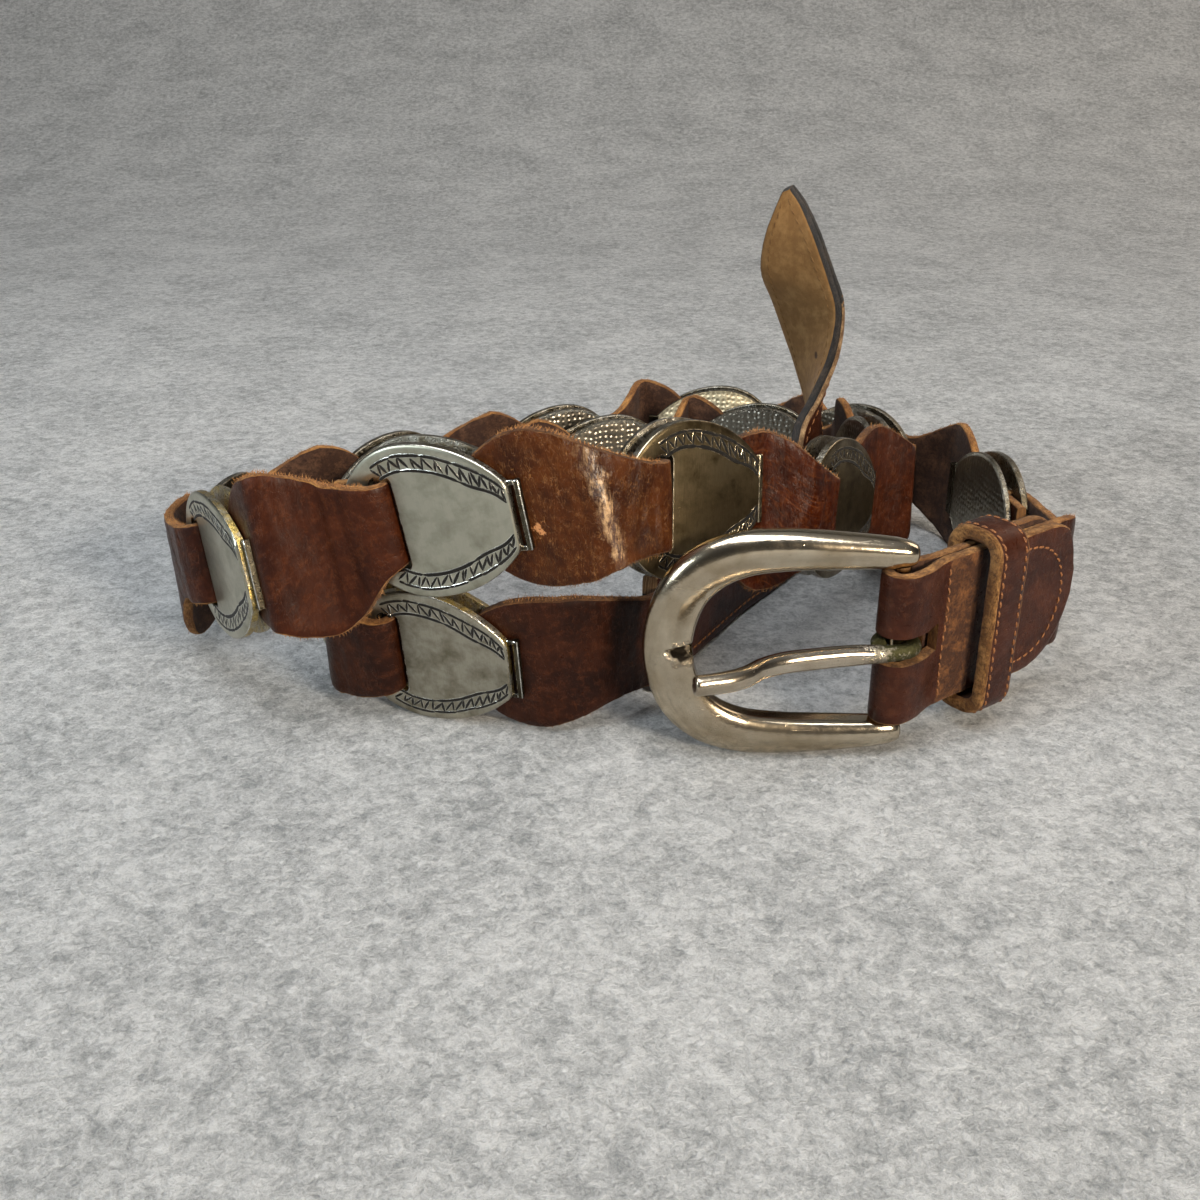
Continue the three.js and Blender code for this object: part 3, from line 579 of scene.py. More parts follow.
# A pale cream copy of the hammered metal: painted light, for plate 3's back.
PAINTED_LIGHT_HAMMERED = plate_metal("plate_hammered_painted_light", (0.95, 0.80, 0.52), 0.40, 0.55, (0.70, 0.52, 0.28), 0.1, 0.4, 5.0,
                  hammer=0.3, metallic=0.35)
WEB_METAL = worn_edge("plate_web", (0.10, 0.088, 0.062), (0.05, 0.04, 0.025), 8.0)
RIM = worn_edge("plate_rim", (0.30, 0.28, 0.235), (0.13, 0.11, 0.075), 0.0)
BRASS_RIM = worn_edge("plate_rim_brass", (0.40, 0.37, 0.30), (0.50, 0.36, 0.11), 3.0)
# Rim and burr metals: worn bright and paler still as a painted glint, on rims, slot edges, the cut lines'
# burrs and the bar's bevels.
SILVER_RIM = burr("plate_silver_rim", (0.74, 0.73, 0.66))
DARK_PLATE_RIM = burr("plate_dark_rim", (0.58, 0.50, 0.36))


# Leather links

def link_heights(length, slot_at, rows):
    """How far the lower and the upper edge of a link are from the middle of the belt."""
    short = LINK_HALF - min(length, LINK_HALF)
    rounded = max(math.sqrt(LINK_HALF ** 2 - short ** 2), 3)
    if rows is None:
        narrow = smooth(length, slot_at - NARROWS_FROM, slot_at - NARROWS_TO)
        half = min(rounded, mix(LINK_HALF, NECK_HALF, narrow))
        return half, half
    near = [length - 1.6, length - 0.8, length, length + 0.8, length + 1.6]
    return tuple(float(np.mean(np.interp(near, rows[0], side))) * rounded / LINK_HALF for side in rows[1:])


def fibres(build, rows, count, seed, mat):
    """Stray fibres: thin bent slivers of three sides, along rows of (point, outward, sideways)."""
    for k in range(count):
        h = [hash01(k, seed, j) for j in range(8)]
        point, outward, sideways = rows[int(h[0] * (len(rows) - 1))]
        root = point + sideways * (h[1] - 0.5) * LEATHER * 0.8
        lean = unit(outward + sideways * (h[2] - 0.5) * 1.6 + vec(h[3] - 0.5, h[4] - 0.5, h[5] - 0.5) * 1.2)
        long = FIBRE_LENGTH * (0.35 + h[6] ** 3)
        side = unit(np.cross(lean, vec(h[5], h[3], h[4]) + 0.01)) * FIBRE_WIDTH
        other = unit(np.cross(lean, side)) * FIBRE_DEPTH
        bend = vec(h[4] - 0.5, h[2] - 0.5, h[7] - 0.5) * long * 0.5
        mid, tip = root + lean * long * 0.55, root + lean * long + bend
        places = [(h[0] * 50, h[1] * 50)] * 4
        ring = (side, other - side * 0.6, -other - side * 0.6)
        low, high = [root + q for q in ring], [mid + q * 0.8 for q in ring]
        build.grid([low, high], [places, places], mat, wrap=True)
        build.face(low[::-1], places[:3], mat)
        for j in range(3):
            build.face([high[j], high[(j + 1) % 3], tip], places[:3], mat)


CUT_EDGE = ((0.78, -0.10), (0.36, 0.0), (-0.36, 0.0), (-0.78, -0.10))


def strap_sheet(build, stations, at, heights, thick, mats, seed, columns, push=lambda length, u: 0.0,
                rough_edge=0.12, gap=None, start=0.0, ring=CUT_EDGE):
    """A closed leather ribbon: front, two cut edges and back.

    mats is (front, edge, back), each as in Build.grid. columns is a number or a list of shares of the
    height, gap a hole given as (first column, last column, whether a row has it), and ring the profile
    of a cut edge, as (share of half the thickness, reach).
    """
    front, back, top, foot = [], [], [], []
    half, offset = thick / 2, seed * 23.0 - start
    shares = columns if isinstance(columns, list) else [c / columns for c in range(columns + 1)]
    for st, length, (low, high) in zip(stations, at, heights):
        hi, lo = (reach + rough_edge * wave(length * 0.7, a, seed)
                  + 0.3 * rough_edge * wave(length * 3.1, b, seed)
                  for reach, a, b in ((high, 3.1, 1.1), (low, 9.1, 5.1)))
        f, b = [], []
        for share in shares:
            x = mix(hi - 0.35, -lo + 0.35, share)
            lift, drop = push(length, x), 0.22 * max(0.0, 1 - min(hi - x, x + lo) / 1.2) ** 2
            f.append(st.point(0, x, half + lift - drop))
            b.append(st.point(0, x, -half + lift + drop))
        front.append(f)
        back.append(b)
        for rows, end, sign, reach in ((top, 0, 1, hi), (foot, -1, -1, lo)):
            lift, side = push(length, sign * reach), [f[end]]
            for q, out in ring:
                rag = 0.10 * wave(length * 2.3, q * 4 + sign, seed + 2)
                side.append(st.point(0, sign * (reach + out + rag), q * half + lift))
            rows.append(side + [b[end]])
    levels = [[mix(high, -low, share) for share in shares] for low, high in heights]

    def faces(base):
        return [[(length + offset, base + v) for v in row] for length, row in zip(at, levels)]

    def sides(base):
        return [[(length + offset, base + q) for q in range(len(ring) + 2)] for length in at]

    def skipped(r, c):
        return gap is not None and gap[0] <= c < gap[1] and gap[2](r)

    build.grid(front, faces(0), mats[0], skip=skipped)
    build.grid(back, faces(40), mats[2], flip=True, skip=skipped)
    if gap is not None:
        rows = [r for r in range(len(front) - 1) if gap[2](r)]
        rows.append(rows[-1] + 1)
        for column, flip in ((gap[0], True), (gap[1], False)):
            wall = [[front[r][column], back[r][column]] for r in rows]
            build.grid(wall, [[(at[r], 0), (at[r], thick)] for r in rows], mats[1], flip=flip)
        span = range(gap[0], gap[1] + 1)
        for r, flip in ((rows[0], True), (rows[-1], False)):
            wall = [[sheet[r][c] for c in span] for sheet in (front, back)]
            build.grid(wall, [[(c, depth) for c in span] for depth in (0, thick)], mats[1], flip=flip)
    build.grid(top, sides(80), mats[1], flip=True)
    build.grid(foot, sides(90), mats[1])
    for end, flip in ((0, True), (-1, False)):
        places = [[(at[end], base + v) for v in levels[end]] for base in (0, 40)]
        build.grid([front[end], back[end]], places, mats[1], flip=flip)


def edge_rows(stations, heights, sign, push, at):
    """The upper (sign 1) or lower cut edge, as rows for fibres."""
    rows = []
    for st, (low, high), length in zip(stations, heights, at):
        u = sign * (high if sign > 0 else low)
        rows.append((st.point(0, u, push(length, u)), st.up * sign, st.out))
    return rows


def link_push(total, slot_at, index):
    """How far the leather stands off its plain path at a length along it and a height u."""
    seed = index * 1.37
    wrinkles, arch = WRINKLED.get(index, (0.6, 0.7))
    ridges = RIDGES.get(index, ())

    def push(length, u):
        free = smooth(length, 12, 19) * (1 - smooth(length, min(slot_at, total) + 1, min(slot_at, total) + 4))
        lift = arch * math.exp(-((length - slot_at + 2.5) / 3.4) ** 2)
        lift += wrinkles * free * (0.55 * wave(length * 0.16, u * 0.05, seed)
                                   + 0.30 * wave(length * 0.42, u * 0.11, seed + 5)
                                   + 0.12 * wave(length * 1.1, u * 0.45, seed + 9))
        for at, slope, high, wide, middle, reach in ridges:
            across = (length - slot_at - at - slope * u) / wide
            lift += high * free * math.exp(-across * across - ((u - middle) / reach) ** 2)
        return lift
    return push


# Height of a link's wrinkles and of its arch over the slot.
WRINKLED = {9: (1.3, 0.6), 8: (0.8, 1.0), 10: (0.9, 0.6), 16: (0.5, 0.9), 17: (0.7, 0.0), 1: (0.4, 0.0)}
# Creases: place before the slot, slope, height, width, and the height that they cover.
RIDGES = {
    8: ((-8.5, 0.05, 0.7, 1.8, 0, 14),),
    9: ((-12.2, -0.24, 1.1, 1.5, 0, 10), (-14.6, -0.30, 0.45, 0.8, 4, 8), (-17.0, -0.36, 0.40, 0.7, 6, 7),
        (-6.6, 0.10, 0.35, 0.6, 3, 8), (-18.0, 0.42, 0.30, 0.8, 8, 7), (-11.0, -0.05, -0.4, 1.0, -4, 6)),
    10: ((-12.0, 0.35, 0.5, 1.4, -2, 9), (-8.0, 0.25, 0.35, 1.0, 2, 8)),
    16: ((-7.0, 0.0, 0.4, 2.0, 0, 12),),
}
NO_SLOT = 200   # further along than any link is long
# Which leather of GRAIN a link has, and how many fibres stand on its upper edge.
LEATHERS = {8: 3, 9: 1, 10: 2, 12: 2, 16: 4, 17: 4, 1: 4}
FUZZY = {7: 300, 8: 620, 9: 560, 10: 300, 16: 280, 17: 340}


def link_path(index):
    """From the tab or the last plate's bar to the next plate's slot, or to the strap."""
    if index == 1:
        path = [TAB_POSE.moved(32)]
        path += stretch(TAB_POSE.moved(TAB["length"] + 0.5), before_slot(POSES[0]), 4, 8)
        return path + fold_stations(POSES[0])
    plate = POSES[index - 2]
    path, leaving = [plate.moved(s) for s in (5.5, 8, 11.5)], plate.moved(WEB_TO + 0.8)
    if index == 17:
        return path + stretch(leaving, JOIN, 10, 10) + [JOIN.moved(9)]
    return path + free_stretch(leaving, before_slot(POSES[index - 1])) + fold_stations(POSES[index - 1])


def make_link(index):
    first, last = index == 1, index == 17
    path = link_path(index)
    slot_at = lengths_of(path)[-14]   # where the fold begins, and on link_17 the place it narrows towards
    stations, at = evenly(path, 0.6)
    if first:
        heights = [(mix(TAB["half"] - 1, NECK_HALF, smooth(length, 14, 44)),) * 2 for length in at]
    else:
        heights = [link_heights(length, slot_at, ASKEW.get(index)) for length in at]
    build = Build()
    push = link_push(at[-1], NO_SLOT if last else slot_at, index)
    start = 0 if last else slot_at
    strap_sheet(build, stations, at, heights, LEATHER, (0, 1, 2), index, 22, push, start=start)
    for sign, share in ((1, 1), (-1, 3)):
        rows = edge_rows(stations, heights, sign, push, at)
        rows = rows[int(len(rows) * 0.2):int(len(rows) * 0.72)]
        fibres(build, rows, FUZZY.get(index, 110) // share, index * 5 + sign, 3)
    grain = GRAIN[LEATHERS.get(index, 0)]
    edge = DARK_EDGE if index in (9, 10, 11, 17) else EDGE
    build.object(f"link_{index:02d}", "leather", [grain, edge, FLESH, FUZZ], "link_leather", 50)


for number in range(1, 18):
    make_link(number)


# Metal plates

# A plate's outline: a straight end and two arcs that run on into a round end.
QUARTER = math.pi / 2
END, HALF_END = PLATE_LENGTH / 2, PLATE_EDGE / 2
ARC_MIDDLE, DROP = PLATE_ROUND - END, PLATE_ROUND - HALF_END
ARC_RADIUS = ((END - ARC_MIDDLE) ** 2 + DROP ** 2) / (2 * DROP)
SWEEP = math.asin((END - ARC_MIDDLE) / ARC_RADIUS)
CENTRE = (-1.0, 0.0)


def outline():
    """Points round the plate, starting at the lower corner of the straight end."""
    points = [(END, mix(-HALF_END + 0.5, HALF_END - 0.5, i / 8)) for i in range(9)]
    points.append((END - 0.15, HALF_END - 0.12))
    for start, turn, count, steps, radius, rise in (
            (QUARTER - SWEEP, SWEEP, 30, range(1, 31), ARC_RADIUS, PLATE_ROUND - ARC_RADIUS),
            (QUARTER, math.pi, 60, range(1, 60), PLATE_ROUND, 0),
            (3 * QUARTER, SWEEP, 30, range(30), ARC_RADIUS, ARC_RADIUS - PLATE_ROUND)):
        angles = [start + turn * i / count for i in steps]
        points += [(ARC_MIDDLE + radius * math.cos(a), rise + radius * math.sin(a)) for a in angles]
    points.append((END - 0.15, -HALF_END + 0.12))
    return points


OUTLINE = outline()


def ring_at(inset, edge_inset):
    """The outline drawn in by an inset, and by another one along the straight end."""
    ring = []
    for s, u in OUTLINE:
        dx, dy = s - CENTRE[0], u - CENTRE[1]
        share = mix(inset, edge_inset, smooth(s, 15.6, 16.95)) / math.hypot(dx, dy)
        ring.append((s - dx * share, u - dy * share))
    return ring


def slot_loop(grow=0.0):
    """Points round the slot, whose corners are rounded."""
    corner, points = 1.3, []
    for k, (right, upper) in enumerate(((1, 1), (-1, 1), (-1, -1), (1, -1))):
        middle = ((SLOT_TO if right > 0 else SLOT_FROM) - right * corner, upper * (SLOT_HALF - corner))
        for i in range(6):
            a = math.radians(90 * k + 18 * i)
            reach = corner + grow
            points.append((middle[0] + reach * math.cos(a), middle[1] + reach * math.sin(a)))
    return points


def filled(outer, hole, n):
    """Triangles between an outline and a hole in it, at one height."""
    bm = bmesh.new()
    for loop in (outer, hole):
        verts = [bm.verts.new((s, u, n)) for s, u in loop]
        for a, b in zip(verts, verts[1:] + verts[:1]):
            bm.edges.new((a, b))
    bmesh.ops.triangle_fill(bm, edges=bm.edges[:], use_beauty=True)
    triangles = [[tuple(v.co) for v in f.verts] for f in bm.faces]
    bm.free()
    return triangles


def facing(triangle, sign):
    """The triangle's corners, turned so that it looks out of the plate (sign 1) or in."""
    (ax, ay, _), (bx, by, _), (cx, cy, _) = triangle
    turn = (bx - ax) * (cy - ay) - (by - ay) * (cx - ax)
    return triangle if turn * sign > 0 else triangle[::-1]


FRONT_FACES = filled(ring_at(2.4, 0.35), slot_loop(0.25), TOP)
INNER_FACES = filled(ring_at(0.2, 0.2), slot_loop(), FACE)


def arc_point(share, inset, side):
    """A place on the upper (side 1) or lower arc, from the straight end to beside the slot."""
    total = ARC_RADIUS * SWEEP + PLATE_ROUND * math.radians(32)
    inset *= mix(0.52, 1, smooth(share, 0, 0.42))
    first = ARC_RADIUS * (math.acos(min((END - 0.5 - ARC_MIDDLE) / (ARC_RADIUS - inset), 1)) - QUARTER + SWEEP)
    past = mix(first, total, share) - ARC_RADIUS * SWEEP
    if past < 0:
        a, radius, rise = QUARTER + past / ARC_RADIUS, ARC_RADIUS - inset, PLATE_ROUND - ARC_RADIUS
    else:
        a, radius, rise = QUARTER + past / PLATE_ROUND, PLATE_ROUND - inset, 0
    return ARC_MIDDLE + radius * math.cos(a), (rise + radius * math.sin(a)) * side


def stroke(build, pose, path, width, bright, dark):
    """A hand-cut line: a dark groove between two low burrs, closed below the plate's face."""
    rows, uvs, last = [], [], len(path) - 1
    for i, (s, u) in enumerate(path):
        before, after = path[max(i - 1, 0)], path[min(i + 1, last)]
        dx, dy = after[0] - before[0], after[1] - before[1]
        r = math.hypot(dx, dy) or 1
        nx, ny = -dy / r, dx / r
        end = 0.45 if i in (0, last) else 1.0
        row = []
        burr = 0.04 * end
        for across, up in ((-1.5, -0.015), (-1.05, burr), (0.0, 0.012), (1.05, burr), (1.5, -0.015)):
            k = across * width / 2 * end
            row.append(pose.point(s + nx * k, u + ny * k, TOP + up))
        rows.append(row)
        uvs.append([(s + nx, u + ny)] * 6)
    build.grid(rows, uvs, lambda r, c: dark if c in (1, 2) else bright, flip=True, wrap=True)


def engrave(build, pose, seed, bright, dark):
    """The border: a broken outer line, a zigzag and an inner line along each arc."""
    for side in (1, -1):
        base = seed * 10 + side
        for depth, width, piece, waver in ((2.0, 0.46, 0.16, 0.22), (4.75, 0.56, 0.34, 0.12)):
            at = 0.006
            while at < 0.97:
                stop = min(at + piece * (0.7 + 0.7 * hash01(base, at, 1)), 0.99)
                d = depth + waver * (hash01(base, at, 2) - 0.5)
                tilt = 0.26 * (hash01(base, at, 3) - 0.5)
                path = [arc_point(mix(at, stop, k / 10), d + tilt * (k / 10 - 0.5), side) for k in range(11)]
                stroke(build, pose, path, width * (0.85 + 0.3 * hash01(base, at, 4)), bright, dark)
                at = stop + 0.008 * hash01(base, at, 4) - 0.006
        count = 25
        for k in range(count):
            jitter = [0.014 * (hash01(base, k, j) - 0.5) for j in range(2)]
            ends = [0.5 * hash01(base, k, j) for j in (7, 8)]
            a, b = (k + 0.10) / count + jitter[0], (k + 0.92) / count + jitter[1]
            outer, inner = (a, b) if k % 2 else (b, a)
            if hash01(base, k, 9) < 0.15:
                inner = mix(inner, outer, 0.7)
            path = [arc_point(mix(outer, inner, t), mix(2.15 + ends[0], 4.6 - ends[1], t), side)
                    for t in (0, 1 / 3, 2 / 3, 1)]
            stroke(build, pose, path, 0.38 + 0.16 * hash01(base, k, 10), bright, dark)


def block(build, pose, shift, mats, s, u, n):
    """A small box with bevelled edges; mats is (side, top)."""
    bevel, loops, texture = 0.16, [], []
    for level, inset in ((n[0], bevel), (n[0] + bevel, 0), (n[1] - bevel, 0), (n[1], bevel)):
        (s0, s1), (u0, u1) = (s[0] + inset, s[1] - inset), (u[0] + inset, u[1] - inset)
        b = bevel * 0.6
        loop = [(s0 + b, u0), (s1 - b, u0), (s1, u0 + b), (s1, u1 - b),
                (s1 - b, u1), (s0 + b, u1), (s0, u1 - b), (s0, u0 + b)]
        loops.append([pose.point(x, y, level) for x, y in loop])
        texture.append([(x + shift, y) for x, y in loop + loop[:1]])
    build.grid(loops, texture, lambda r, c: mats[r == 2], wrap=True)
    build.face(loops[0][::-1], texture[0][:8], mats[0])
    build.face(loops[-1], texture[0][:8], mats[0])


def make_plate(index, pose):
    build = Build()
    # bright is the rim and burr metal: worn bright, and paler still as a painted glint.
    metal, rim, hammered, dark, bright, web = range(6)
    seed, shift = index * 1.7, index * 40.0

    def rings(steps, mat):
        """A wall of rings, each a loop in the plate's plane with its level."""
        texture = [[(s + shift, u) for s, u in loop + loop[:1]] for loop, _ in steps]
        build.grid([[pose.point(s, u, n) for s, u in loop] for loop, n in steps], texture, mat, wrap=True)

    def cover(faces, sign, mat):
        for triangle in faces:
            corners = facing(triangle, sign)
            build.face([pose.point(*c) for c in corners], [(c[0] + shift, c[1]) for c in corners], mat)

    # The front plate: inner edge, side wall, rounded shoulder and sloping rim, then the flat field.
    rings([(ring_at(inset, edge), n) for inset, edge, n in FRONT_STEPS],
          lambda r, c: rim if r < 3 else bright if r < 4 else metal)
    cover(FRONT_FACES, 1, metal)
    cover(INNER_FACES, -1, rim)
    rings(list(zip((slot_loop(0.25), slot_loop(0.06), slot_loop(), slot_loop()), (TOP, 3.20, 3.02, FACE))),
          lambda r, c: bright if r < 2 else rim)
    engrave(build, pose, seed, bright, dark)

    # The back plate: a shallow hammered dome.
    count = 26
    edge = [((0.2, 0.2), -FACE), ((0, 0), -FACE - 0.12), ((0, 0), -2.3), ((0.1, 0.1), -2.48)]
    rows = [[pose.point(s, u, n) for s, u in ring_at(*insets)] for insets, n in edge]
    texture = [[(s + shift, u) for s, u in ring_at(0.1, 0.1)]] * len(edge)
    for k in range(1, count + 1):
        share = (k / count) ** 0.9
        row, places = [], []
        for s, u in OUTLINE:
            x, y = mix(s, CENTRE[0], share), mix(u, CENTRE[1], share)
            r = share * math.hypot(s - CENTRE[0], u - CENTRE[1])
            rise = 0.40 * (1 - (1 - min(r / 9, 1)) ** 2)
            dent = 0.10 * noise.noise(Vector((x * 0.55 + seed, y * 0.55, seed))) if r > 1.2 else 0
            if k == count:
                x, y, dent = *CENTRE, 0
            row.append(pose.point(x, y, -2.5 - rise + dent * 0.6))
            places.append((x + shift, y + 60))
        rows.append(row)
        texture.append(places)
    places = [row + row[:1] for row in texture]
    build.grid(rows, places, lambda r, c: rim if r < 3 else hammered, wrap=True, flip=True)
    cover(BACK_FACES, 1, rim)

    # The small bar that the next link hangs on, its foot and its two lugs.
    foot = (16.2, WEB_FROM + 0.1)
    block(build, pose, shift, (web, bright), (WEB_FROM, WEB_TO), (-WEB_HALF, WEB_HALF), (-2.9, 2.3))
    block(build, pose, shift, (web, bright), foot, (-WEB_HALF, WEB_HALF), (-2.85, -1.85))
    for lug in ((WEB_HALF - 0.9, WEB_HALF), (-WEB_HALF, 0.9 - WEB_HALF)):
        block(build, pose, shift, (web, bright), foot, lug, (1.6, 2.25))
    face = AGED if index == 16 else DARK_PLATE if index in (1, 2, 9, 10, 11, 12, 13) else SILVER
    side = BRASS_RIM if index in (7, 16) else RIM
    # Plate 3's back has the hammered metal with painted light.
    back = PAINTED_LIGHT_HAMMERED if index == 3 else HAMMERED
    metals = [face, side, back, CUT, DARK_PLATE_RIM if face == DARK_PLATE else SILVER_RIM, WEB_METAL]
    build.object(f"plate_{index:02d}", "metal", metals, "plate_metal", 32)


RIM_RING = ring_at(0.2, 0.2)
RIM_EDGES = list(zip(RIM_RING, RIM_RING[1:] + RIM_RING[:1]))
BACK_FACES = [[(*a, -FACE), (*b, -FACE), (*CENTRE, -FACE)] for a, b in RIM_EDGES]
# The front plate's rings: drawn in round the plate and along its straight end, and at what level.
FRONT_STEPS = [(0.2, 0.2, FACE), (0.0, 0.0, FACE + 0.15), (0.0, 0.0, 2.62), (0.04, 0.05, 2.80),
               (0.14, 0.12, 2.95), (0.32, 0.18, 3.07), (0.60, 0.24, 3.16), (1.0, 0.30, 3.22),
               (1.6, 0.33, 3.265), (2.4, 0.35, TOP)]
for number, plate_pose in enumerate(POSES, 1):
    make_plate(number, plate_pose)


# Rods, stitches and loops

def spline(points, share):
    """A centripetal Catmull-Rom curve through the points."""
    last = len(points) - 1
    at = min(max(share, 0.0), 1.0) * last
    i = min(int(at), last - 1)
    t = at - i
    p1, p2 = points[i], points[i + 1]
    p0 = points[i - 1] if i > 0 else 2 * p1 - p2
    p3 = points[i + 2] if i + 2 <= last else 2 * p2 - p1
    d = [max(np.linalg.norm(b - a) ** 0.5, 1e-9) for a, b in ((p0, p1), (p1, p2), (p2, p3))]
    if d[1] < 1e-4:
        d[1] = 1.0
    d[0], d[2] = (x if x > 1e-4 else d[1] for x in (d[0], d[2]))
    m1 = ((p1 - p0) / d[0] - (p2 - p0) / (d[0] + d[1]) + (p2 - p1) / d[1]) * d[1]
    m2 = ((p2 - p1) / d[1] - (p3 - p1) / (d[1] + d[2]) + (p3 - p2) / d[2]) * d[1]
    return p1 + m1 * t + (-3 * p1 + 3 * p2 - 2 * m1 - m2) * t ** 2 + (2 * p1 - 2 * p2 + m1 + m2) * t ** 3


def closed_spline(points, count):
    """The same curve round a closed loop."""
    ring = points[-3:] + points + points[:3]
    span = len(ring) - 1
    return [spline(ring, (3 + len(points) * k / count) / span) for k in range(count)]


def rod(build, centres, sides, outs, profile, cap):
    """A swept closed profile with flat ends whose rims are rounded; profile gives points for each ring."""
    rows, uvs, length = [], [], 0.0
    shrink = [(0.0, 0.0), (0.55, 0.0), (0.86, 0.05), (0.96, 0.32)]
    last = len(centres) - 1
    plan = [(0, k, x * cap) for k, x in shrink] + [(i, 1.0, None) for i in range(1, last)]
    plan += [(last, k, x * cap) for k, x in reversed(shrink)]
    for i, k, inward in plan:
        centre = centres[i]
        if inward is not None:
            other = centres[1] if i == 0 else centres[last - 1]
            centre = centre + unit(other - centre) * inward
        elif i > 1:
            length += float(np.linalg.norm(centres[i] - centres[i - 1]))
        shape = profile(i)
        rows.append([centre + sides[i] * x * k + outs[i] * y * k for x, y in shape])
        uvs.append([(length, 12.0 * c / len(shape)) for c in range(len(shape) + 1)])
    build.grid(rows, uvs, 0, wrap=True)


def stitch_line(build, places, mat, seed, pitch=1.9, radius=0.25):
    """Thread stitches along a line of (point, out) places, each one dipping into the leather at its ends."""
    sink, slant = 0.05, 0.12
    run = [0.0]
    for (a, _), (b, _) in zip(places, places[1:]):
        run.append(run[-1] + float(np.linalg.norm(b - a)))
    count = int(run[-1] / pitch)

    def at(length):
        j = min(max(int(np.searchsorted(run, length)) - 1, 0), len(run) - 2)
        t = (length - run[j]) / max(run[j + 1] - run[j], 1e-9)
        return mix(places[j][0], places[j + 1][0], t), unit(mix(places[j][1], places[j + 1][1], t))

    for k in range(count):
        begin = (k + 0.10 + 0.06 * (hash01(k, seed, 1) - 0.5)) * run[-1] / count
        stop = (k + 0.90 + 0.06 * (hash01(k, seed, 2) - 0.5)) * run[-1] / count
        rows, uvs = [], []
        lean = slant * (1 + 0.6 * (hash01(k, seed, 3) - 0.5))
        for i in range(7):
            t = i / 6
            point, out = at(mix(begin, stop, t))
            ahead = at(min(mix(begin, stop, t) + 0.05, run[-1]))[0] - at(max(mix(begin, stop, t) - 0.05, 0))[0]
            side = unit(np.cross(out, unit(ahead)))
            lift = math.sin(math.pi * min(max(t, 0.02), 0.98)) ** 0.5
            centre = point + out * (radius * (1.1 * lift - 0.75) - sink) + side * lean * (2 * t - 1)
            r = radius * (0.45 + 0.55 * lift)
            rows.append([centre + side * r * math.cos(a) + out * r * 0.9 * math.sin(a)
                         for a in (math.tau * j / 7 for j in range(7))])
            uvs.append([(k + t, j) for j in range(8)])
        build.grid(rows, uvs, mat, wrap=True)


# The buckle

# The frame from its upper arm's end to the middle of its round end: place, then half its width and depth.
ARM = [(2.4, 18.0, 2.1, 2.2), (-2, 18.4, 2.8, 2.8), (-12, 18.9, 3.4, 3.1), (-22, 19.0, 3.9, 3.1),
       (-29, 18.2, 4.2, 3.1), (-35, 15.6, 4.5, 3.0), (-39.6, 10.6, 4.6, 2.9), (-42.2, 0, 4.6, 2.7)]
# Its cross-section, as shares of those two.
SECTION = [(1.0, -0.5), (1.0, 0.05), (0.985, 0.42), (0.90, 0.62), (0.66, 0.82), (0.30, 0.96), (-0.08, 1.0),
           (-0.45, 0.92), (-0.76, 0.68), (-0.95, 0.34), (-1.0, 0.0), (-0.94, -0.40), (-0.74, -0.76),
           (-0.38, -0.97), (0.1, -1.0), (0.55, -0.96), (0.88, -0.80)]


def make_frame():
    build, pose = Build(), BUCKLE_POSE
    rows = ARM + [(s, -u, b, d) for s, u, b, d in reversed(ARM[:-1])]
    middle = [vec(s, u, 0) for s, u, _, _ in rows]
    halves = [vec(b, d, 0) for _, _, b, d in rows]
    section = closed_spline([vec(x, y, 0) for x, y in SECTION], 44)
    shares = sorted({round(i / 150, 5) for i in range(151)} | {round(0.46 + 0.0016 * i, 5) for i in range(51)})
    centres, sides, flat = [], [], []
    for share in shares:
        p = spline(middle, share)
        tangent = unit(spline(middle, min(share + 0.002, 1)) - spline(middle, max(share - 0.002, 0)))
        flat.append((p, spline(halves, share)))
        centres.append(pose.point(p[0], p[1], 0))
        sides.append(pose.along * -tangent[1] + pose.up * tangent[0])

    def profile(i):
        """The cross-section, smaller at the arms' rounded ends, with the notch for the tip of the tongue."""
        p, (b, d, _) = flat[i]
        round_end = math.sqrt(max(0.0, 1 - max(0.0, 1 - (ARM[0][0] - p[0]) / 2.6) ** 2))
        b, d = b * mix(0.6, 1, round_end), d * mix(0.6, 1, round_end)
        made = []
        for x, y, _ in section:
            deep = y * d
            if y > 0 and abs(p[1]) < 8:
                reach = mix(0.4, 2.6, min(max((x + 0.1) / 1.1, 0), 1))
                off = abs(p[1] + 0.4 + 0.9 * max(x, 0))
                dip = 1 - smooth(off, 0.35 * reach, 1.15 * reach)
                deep -= dip * 2.1 * smooth(x, -0.12, 0.12) * smooth(y, 0.0, 0.5)
                rim = math.exp(-((off - 1.25 * reach) / 0.5) ** 2)
                rim *= smooth(x, -0.15, 0.1) * smooth(y, 0.3, 0.8)
                deep += 0.12 * rim
            made.append((x * b, deep))
        return made

    rod(build, centres, sides, [pose.out] * len(shares), profile, 0.9)
    bar = [pose.point(0, mix(18, -18, i / 20), 0) for i in range(21)]
    ring = [(1.4 * math.cos(math.tau * j / 20), 1.4 * math.sin(math.tau * j / 20)) for j in range(20)]
    rod(build, bar, [pose.along] * 21, [-pose.out] * 21, lambda i: ring, 0.2)
    build.object("buckle_frame", "metal", [NICKEL], "buckle_metal", 60)


# The tongue from its loop to its tip: place, height over the bar, radius.
TONGUE = [(-3, 3.1, 1.6), (-8, 2.4, 1.9), (-16, 1.9, 2.0), (-23, 2.0, 2.0), (-27.5, 3.2, 1.95),
          (-31, 5.2, 1.95), (-34.5, 6.2, 1.95), (-41, 6.4, 1.84)]


